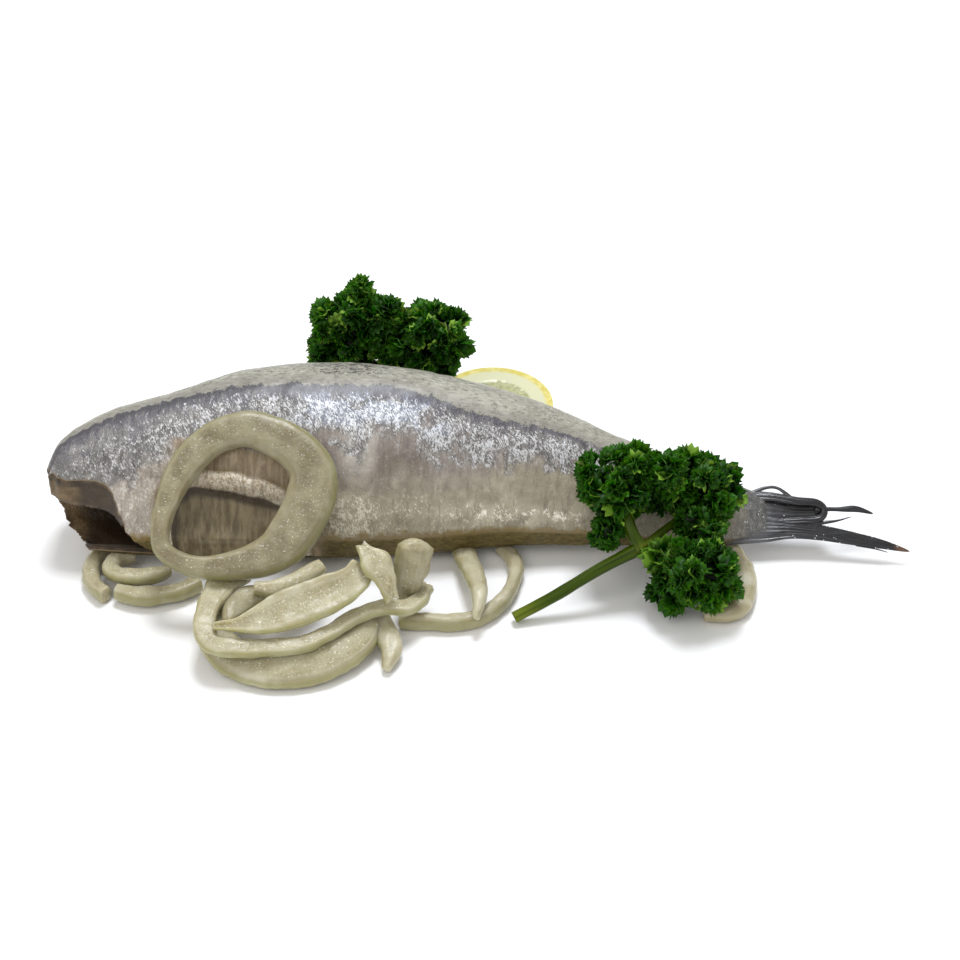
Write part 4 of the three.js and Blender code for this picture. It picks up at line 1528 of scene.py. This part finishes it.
@dataclass
class ParsleySprig:
    """A sprig of curly parsley: stalks and heads."""

    name: str
    heads: list[ParsleyHead]
    stalks: list[tuple[list[Spot], list[float]]]
    seed: int
    leaflet_kinds: int = 10
    floret_kinds: int = 6
    leaflets: int = 24
    columns: int = 6
    rows: int = 2
    leaf_thickness: float = 0.025
    young_share: float = 0.06
    stalk_around: int = 40
    stalk_per_step: float = 0.6
    cap_rows: float = 2.0

    def leaflet(self, draw: random.Random) -> bpy.types.Mesh:
        """One leaflet: a wedge with three teeth, cupped and rippled, thickened into a closed leaf.

        Args:
            draw: the source of its unevenness.

        Returns:
            The leaflet's mesh, one unit long, its foot at the origin and its length along +Z.
        """
        bm = bmesh.new()
        bmesh.ops.create_grid(bm, x_segments=self.columns, y_segments=self.rows, size=0.5)
        marks = bm.verts.layers.float_color.new("marks")
        spread = draw.uniform(0.42, 0.62)
        phase = draw.uniform(0, 2 * math.pi)
        cup, bend = draw.uniform(-0.5, 0.9), draw.uniform(-0.25, 0.45)
        for vert in bm.verts:
            u, v = vert.co.x * 2, vert.co.y + 0.5
            tooth = round((u + 1) * self.columns / 2) % 2
            length = v * (0.86 - 0.24 * u * u) + (0.18 if tooth else -0.04) * (v > 0.9)
            width = (0.10 + 0.9 * v ** 0.7) * spread * (1.06 if v < 0.9 else 0.98)
            ripple = 0.09 * math.sin(u * 4.4 + phase) * v
            vert.co = Vector((u * width, ripple + cup * u * u * v * 0.4 + bend * v * v, length))
            vert[marks] = (smooth(0.4, 1, v), 0, 0, 1)
        bmesh.ops.solidify(bm, geom=bm.faces[:], thickness=self.leaf_thickness)
        bmesh.ops.recalc_face_normals(bm, faces=bm.faces)
        return frozen("leaflet", bm)

    def floret(self, leaflets: list[bpy.types.Mesh], draw: random.Random) -> bpy.types.Mesh:
        """One floret: leaflets that spread from a point, mostly along +Z.

        Args:
            leaflets: the kinds of leaflet to choose from.
            draw: the source of unevenness.

        Returns:
            The floret's mesh, about one unit across its reach.
        """
        bm = bmesh.new()
        marks = bm.verts.layers.float_color.new("marks")
        for _ in range(self.leaflets):
            heading = (Vector((0, 0, 0.9)) + random_way(draw) * 0.95).normalized()
            tilt = Matrix.Rotation(draw.gauss(0, 0.35), 4, "X")
            spin = spun(draw)
            size = Matrix.Scale(draw.uniform(0.66, 1.02), 4)
            spot = Matrix.Translation(heading * 0.12) @ opened_to(heading) @ spin @ tilt @ size
            new = copied(bm, draw.choice(leaflets), spot)
            shade = draw.uniform(0.55, 1.0)
            young = draw.uniform(0.3, 0.9) if draw.random() < self.young_share else 0.0
            for vert in new:
                vert[marks] = (vert[marks][0] * shade, shade, young, 1)
        return frozen("floret", bm)

    def leaves(self, finish: Finish) -> Piece:
        """Builds every leaflet of the sprig as one mesh.

        Args:
            finish: the leaf's material.

        Returns:
            The piece.
        """
        draw = random.Random(self.seed)
        leaflets = [self.leaflet(draw) for _ in range(self.leaflet_kinds)]
        florets = [self.floret(leaflets, draw) for _ in range(self.floret_kinds)]
        bm = bmesh.new()
        marks = bm.verts.layers.float_color.new("marks")
        for head in self.heads:
            self.painted_shade_core(bm, head, marks)
            for middle, outward in self.floret_places(head, draw):
                shade = draw.uniform(0.35, 1.0)
                spin = spun(draw)
                size = Matrix.Scale(head.floret_reach * draw.uniform(0.82, 1.12) * MM, 4)
                spot = Matrix.Translation((middle - DISH_MIDDLE) * MM) @ opened_to(outward) @ spin @ size
                for vert in copied(bm, draw.choice(florets), spot):
                    tip, own, young, _ = vert[marks]
                    vert[marks] = (tip * shade, own * shade, max(young, head.young * tip), 1)
                    vert.co.z = max(vert.co.z, LOWEST * MM)
        for mesh in leaflets + florets:
            bpy.data.meshes.remove(mesh)
        return finished(f"{self.name}_leaves", bm, finish, outward=False)

    def painted_shade_core(self, bm: bmesh.types.BMesh, head: ParsleyHead, marks: object) -> None:
        """Adds a dark ball inside a head, painted shade where the leaflets are too crowded to tell apart.

        Args:
            bm: the mesh it goes into.
            head: the head.
            marks: the mesh's marks layer.
        """
        made = bmesh.ops.create_icosphere(bm, subdivisions=3, radius=1.0)
        for vert in made["verts"]:
            way = vert.co.normalized()
            uneven = 0.44 + 0.2 * rough(way * 10 + Vector(head.at), 4, 2)
            spot = Vector(head.at) + Vector([way[i] * head.reach[i] * uneven for i in range(3)])
            vert.co = (spot - DISH_MIDDLE) * MM
            vert.co.z = max(vert.co.z, LOWEST * MM)
            vert[marks] = (0, 0, 0, 1)

    def floret_places(self, head: ParsleyHead, draw: random.Random) -> list[tuple[Vector, Vector]]:
        """Where a head's florets are and which way they open.

        Args:
            head: the head.
            draw: the source of unevenness.

        Returns:
            (middle, outward direction) pairs, in millimetres.
        """
        golden = math.pi * (3 - math.sqrt(5))
        places = []
        for i in range(head.florets):
            height = 1 - 2 * (i + 0.5) / head.florets
            ring = math.sqrt(1 - height * height)
            outward = Vector((math.cos(golden * i) * ring, math.sin(golden * i) * ring, height))
            outward = (outward + random_way(draw) * 0.16).normalized()
            depth = draw.choice([1.0, 1.0, 0.72]) * draw.uniform(0.92, 1.12)
            inside = [max(reach - head.floret_reach, 1.0) * depth for reach in head.reach]
            middle = Vector(head.at) + Vector([outward[k] * inside[k] for k in range(3)])
            places.append((middle, outward))
        return places

    def stalk(self, number: int, points: Sequence[Spot], wide: Sequence[float], finish: Finish) -> None:
        """Builds one ribbed stalk.

        Args:
            number: its number on the sprig.
            points: its route, in millimetres.
            wide: its thickness along the route.
            finish: the stalk's material.
        """
        route = Route(points)
        width = along_route(wide)
        steps = int(route.length / self.stalk_per_step)
        cap = self.cap_rows / steps

        def place(u: float, v: float) -> Vector:
            """Places one point of the stalk.

            Args:
                u: the share round it.
                v: the share along it.

            Returns:
                The place, in millimetres.
            """
            share, close = strip_row(v, cap)
            angle = 2 * math.pi * u
            _, side, top = route.axes(share, Vector((0, 0, 1)))
            ribs = 1 + 0.06 * math.cos(angle * 5) + 0.06 * noise.noise(route.at(share) / 5)
            reach = width(share) / 2 * ribs * close
            return route.at(share) + side * math.cos(angle) * reach + top * math.sin(angle) * reach

        surface = Skin(f"{self.name}_stalk_{number}", self.stalk_around, steps, place)
        report(surface.build(finish), Slot.PARSLEY)

    def build(self, leaf: Finish, stalk: Finish) -> None:
        """Builds the sprig in place of its plain solid.

        Args:
            leaf: the leaf's material.
            stalk: the stalk's material.
        """
        report(self.leaves(leaf), Slot.PARSLEY, self.name)
        for number, (points, wide) in enumerate(self.stalks, start=1):
            self.stalk(number, points, wide, stalk)


PARSLEY_SPRIGS = [
    ParsleySprig(
        "parsley_sprig_front",
        [ParsleyHead((38.6, -15.4, 27), (13.6, 11.4, 13.2), florets=25),
         ParsleyHead((59.2, -12.6, 23.4), (13.8, 11.4, 12.8), florets=25),
         ParsleyHead((49.4, -15, 30), (7.8, 8, 8.4), florets=9),
         ParsleyHead((34.6, -25, 18.4), (6.8, 5.8, 6.8), florets=5, floret_reach=4.2),
         ParsleyHead((61, -24, 18), (8, 6.4, 6), florets=6, floret_reach=4.2),
         ParsleyHead((57.4, -22, 20.4), (6.4, 5.6, 6), florets=5, floret_reach=4.2),
         ParsleyHead((56.6, -35.4, 12.4), (14.4, 12, 12.2), florets=23),
         ParsleyHead((50, -33.5, 16), (7, 4, 4.4), florets=4, floret_reach=5.6, young=0.55)],
        [([(9.2, -41, 2), (20.4, -37.2, 6.6), (32, -33.2, 12.4), (44.2, -29.6, 17.8)],
          [3.2, 3.1, 3.2, 3.8]),
         ([(43.4, -30.6, 17.4), (40.6, -27, 21), (39, -22, 24)], [3.8, 3.2, 3]),
         ([(43.4, -30, 17), (50, -23, 17.6), (57, -17, 19)], [2.6, 2.2, 2]),
         ([(43.4, -31, 17), (49, -33, 15), (55, -35, 13)], [3.4, 2.6, 2.2])],
        seed=11),
    ParsleySprig(
        "parsley_sprig_back",
        [ParsleyHead((-36.8, 47, 34.6), (14.4, 11.6, 13.6)),
         ParsleyHead((-14.6, 45.6, 32.6), (12.4, 11, 13)),
         ParsleyHead((-34.6, 47, 47), (4.6, 4.2, 5.4), florets=5, floret_reach=3.7),
         ParsleyHead((-27, 47, 37.6), (6.4, 6, 8.4), florets=8),
         ParsleyHead((-46, 46, 26), (5.4, 5, 7), florets=5, floret_reach=4.2),
         ParsleyHead((-11, 44.5, 21.5), (6.6, 5, 7), florets=5, floret_reach=4.2),
         ParsleyHead((-25.6, 46.4, 17), (15.6, 10.8, 15))],
        [([(-26, 47, 12), (-33, 48, 22), (-37, 47, 34)], [4, 3, 3]),
         ([(-26, 47, 12), (-19, 47, 21), (-13.4, 46, 30)], [4, 3, 3]),
         ([(-74, 34, 2), (-60, 37, 2), (-44, 42, 3.4), (-28, 47, 8)], [4, 3.6, 3.6, 4])],
        seed=23),
]


# ------------------------------------------------------------------ lemon


@dataclass(frozen=True)
class LemonFlesh:
    """A cut lemon: yellow oily rind, thick white pith and pale pulp in segments."""

    rind: str = "#cdbf5c"
    pith: str = "#d2d2ae"
    pulp: str = "#9fa274"

    def material(self) -> Finish:
        """Builds the lemon finish.

        Returns:
            The material; it reads the marks (rind, pulp, membrane).
        """
        nodes = Nodes("cut_lemon")
        where = nodes.add("TexCoord", out="Object")
        rind, pulp, membrane = nodes.marks()
        vesicles, blush = (nodes.add("TexNoise", {"Vector": where, "Scale": per_mm(size), "Detail": 2})
                           for size in (1.6, 2.0))
        pores = nodes.add("TexVoronoi", {"Vector": where, "Scale": per_mm(1.1)}, "Distance")
        flesh = nodes.layered(self.pulp, [Layer(vesicles, 0.35, 0.65, "#b6b78a")])
        skin = nodes.layered(self.rind, [Layer(blush, 0.35, 0.65, "#dcd283")])
        colour = nodes.layered(self.pith, [
            Layer(pulp, 0.0, 1.0, flesh),
            Layer(membrane, 0.0, 1.0, "#b3b692"),
            Layer(rind, 0.0, 1.0, skin),
        ])
        heights = nodes.add("Mix", {0: rind, 2: vesicles, 3: pores})
        bump = nodes.add("Bump", {"Strength": 0.4, "Distance": 0.25 * MM, "Height": heights})
        return nodes.finish(nodes.add("BsdfPrincipled", {
            "Base Color": colour, "Roughness": 0.35, "Subsurface Weight": 0.3,
            "Subsurface Radius": (1.0, 0.9, 0.4), "Subsurface Scale": 2.0 * MM, "Coat Weight": 0.2,
            "Coat Roughness": 0.2, "Normal": bump}))


@dataclass
class LemonSlice:
    """A thick slice from near the lemon's end, lying flat."""

    at: Spot = (4.0, 46.5, 3.5)
    radius: float = 18.0
    thick: float = 7.0
    rind: float = 2.4
    pith: float = 4.6
    segments: int = 9
    around: int = 180
    rows: int = 90
    # the share of the rows on each cut face, and of the radius that the face reaches
    face_share: float = 0.4
    face_reach: float = 0.985

    def wall(self, reach: float, turn: float) -> float:
        """How much a membrane shows at a place on the cut face.

        Args:
            reach: the distance from the middle, in millimetres.
            turn: the share of the way round.

        Returns:
            1 on a membrane, 0 inside a segment.
        """
        gap = abs(((turn * self.segments) % 1) - 0.5) * 2
        width = 0.9 / max(reach, 0.5) * self.segments / (2 * math.pi)
        return smooth(1 - width, 1, gap)

    def build(self) -> None:
        """Builds the slice in place of its plain solid."""
        pulp_reach = self.radius - self.rind - self.pith
        half = self.thick / 2

        def ring(v: float) -> tuple[float, float]:
            """Finds a row: out over the top face, down the rind, back under.

            Args:
                v: the share of the rows passed.

            Returns:
                Its reach and height, in millimetres.
            """
            if v <= self.face_share:
                return self.radius * (v / self.face_share) * self.face_reach, half
            if v >= 1 - self.face_share:
                return self.radius * ((1 - v) / self.face_share) * self.face_reach, -half
            turn = math.pi * (v - self.face_share) / (1 - 2 * self.face_share)
            bulge = (1 - self.face_reach) * math.sin(turn)
            return self.radius * (self.face_reach + bulge), half * math.cos(turn)

        def place(u: float, v: float) -> Vector:
            """Places one point of the slice.

            Args:
                u: the share round it.
                v: the share of the rows passed.

            Returns:
                The place, in millimetres.
            """
            reach, height = ring(v)
            angle = 2 * math.pi * u
            spot = Vector((reach * math.cos(angle), reach * math.sin(angle), 0))
            if v <= self.face_share:
                inside = smooth(pulp_reach + 0.6, pulp_reach - 0.4, reach)
                height -= inside * abs(0.35 * (1 - self.wall(reach, u)) + 0.12 * rough(spot, 2, 2))
            return Vector(self.at) + spot + Vector((0, 0, height))

        def marks(u: float, v: float) -> tuple[float, float, float, float]:
            """Marks one point.

            Args:
                u: the share round it.
                v: the share of the rows passed.

            Returns:
                Rind, pulp, membrane and 1.
            """
            reach, _ = ring(v)
            inner = self.radius - self.rind
            on_face = not self.face_share < v < 1 - self.face_share
            rind = smooth(inner - 0.8, inner + 0.8, reach) if on_face else 1.0
            pulp = smooth(pulp_reach + 0.7, pulp_reach - 0.3, reach)
            return rind, pulp, pulp * self.wall(reach, u), 1

        surface = Skin("lemon_slice_cut", self.around, self.rows, place, marks)
        report(surface.build(LemonFlesh().material()), Slot.LEMON, "lemon_slice")


# ------------------------------------------------------------------ the studio


@dataclass
class Studio:
    """A plain pale floor, soft light from above and a camera at the photograph's angle."""

    elevation: float = math.radians(40)
    distance: float = 0.6
    lens: float = 80.5
    room_light: float = 0.62
    floor_size: float = 3.0
    target: Vector = field(default_factory=lambda: (Vector((0, 0, 16)) - DISH_MIDDLE) * MM)

    def camera(self) -> None:
        """Places the camera."""
        data = bpy.data.cameras.new("camera")
        data.lens = self.lens
        data.clip_start = 0.01
        data.dof.use_dof = False
        camera = bpy.data.objects.new("camera", data)
        back = Vector((0, -math.cos(self.elevation), math.sin(self.elevation)))
        camera.location = self.target + back * self.distance
        camera.rotation_euler = (math.pi / 2 - self.elevation, 0, 0)
        bpy.context.scene.collection.objects.link(camera)
        bpy.context.scene.camera = camera

    def light(self, name: str, place: Spot, size: float, power: float, colour: str) -> None:
        """Adds one soft square light that faces the food.

        Args:
            name: the light's name.
            place: where it hangs, in metres.
            size: its width, in metres.
            power: its power, in watts.
            colour: its colour as hex.
        """
        data = bpy.data.lights.new(name, "AREA")
        data.size = size
        data.energy = power
        data.color = linear(colour)[:3]
        lamp = bpy.data.objects.new(name, data)
        lamp.location = place
        lamp.rotation_euler = (self.target - Vector(place)).to_track_quat("-Z", "Y").to_euler()
        bpy.context.scene.collection.objects.link(lamp)

    def floor(self) -> None:
        """Lays the floor."""
        nodes = Nodes("matt_white_card")
        card = nodes.add("BsdfPrincipled", {"Base Color": linear("#fbfbfb"), "Roughness": 0.9})
        bm = bmesh.new()
        bmesh.ops.create_grid(bm, x_segments=1, y_segments=1, size=self.floor_size)
        finished("floor", bm, nodes.finish(card), outward=False)

    def build(self) -> None:
        """Builds floor, lights, surroundings and camera."""
        world = bpy.data.worlds.new("pale_room")
        world.use_nodes = True
        background = world.node_tree.nodes["Background"]
        background.inputs["Color"].default_value = (1, 1, 1, 1)
        background.inputs["Strength"].default_value = self.room_light
        bpy.context.scene.world = world
        bpy.context.scene.view_settings.view_transform = "Standard"
        self.floor()
        self.light("window_above", (0.02, 0.28, 0.9), 0.3, 6.6, "#f6f9ff")
        self.light("soft_front", (-0.5, -0.6, 0.9), 0.6, 2.4, "#fffaf2")
        self.camera()


# ------------------------------------------------------------------ making it


def main() -> None:
    """Builds the floor and light, then the fish, the onion, the parsley and the lemon."""
    logging.basicConfig(level=logging.INFO, format="%(message)s")
    Studio().build()
    Herring().build()
    thick = RawOnion("onion_wet_ring", clear=0.35, flesh="#b3aa88", deep="#7c7154", milky="#c4bea2",
                     cut="#9c9272", cut_pale="#bfb796", edge="#b0a98c").material()
    flank_ring().build(thick)
    onion = RawOnion("onion_wet_strips", clear=0.05).material()
    for piece in ONION_PIECES:
        piece.build(onion)
    leaf, stalk = CurlyLeaf().material(), ParsleyStalk().material()
    for sprig in PARSLEY_SPRIGS:
        sprig.build(leaf, stalk)
    LemonSlice().build()


if __name__ == "__main__":
    main()
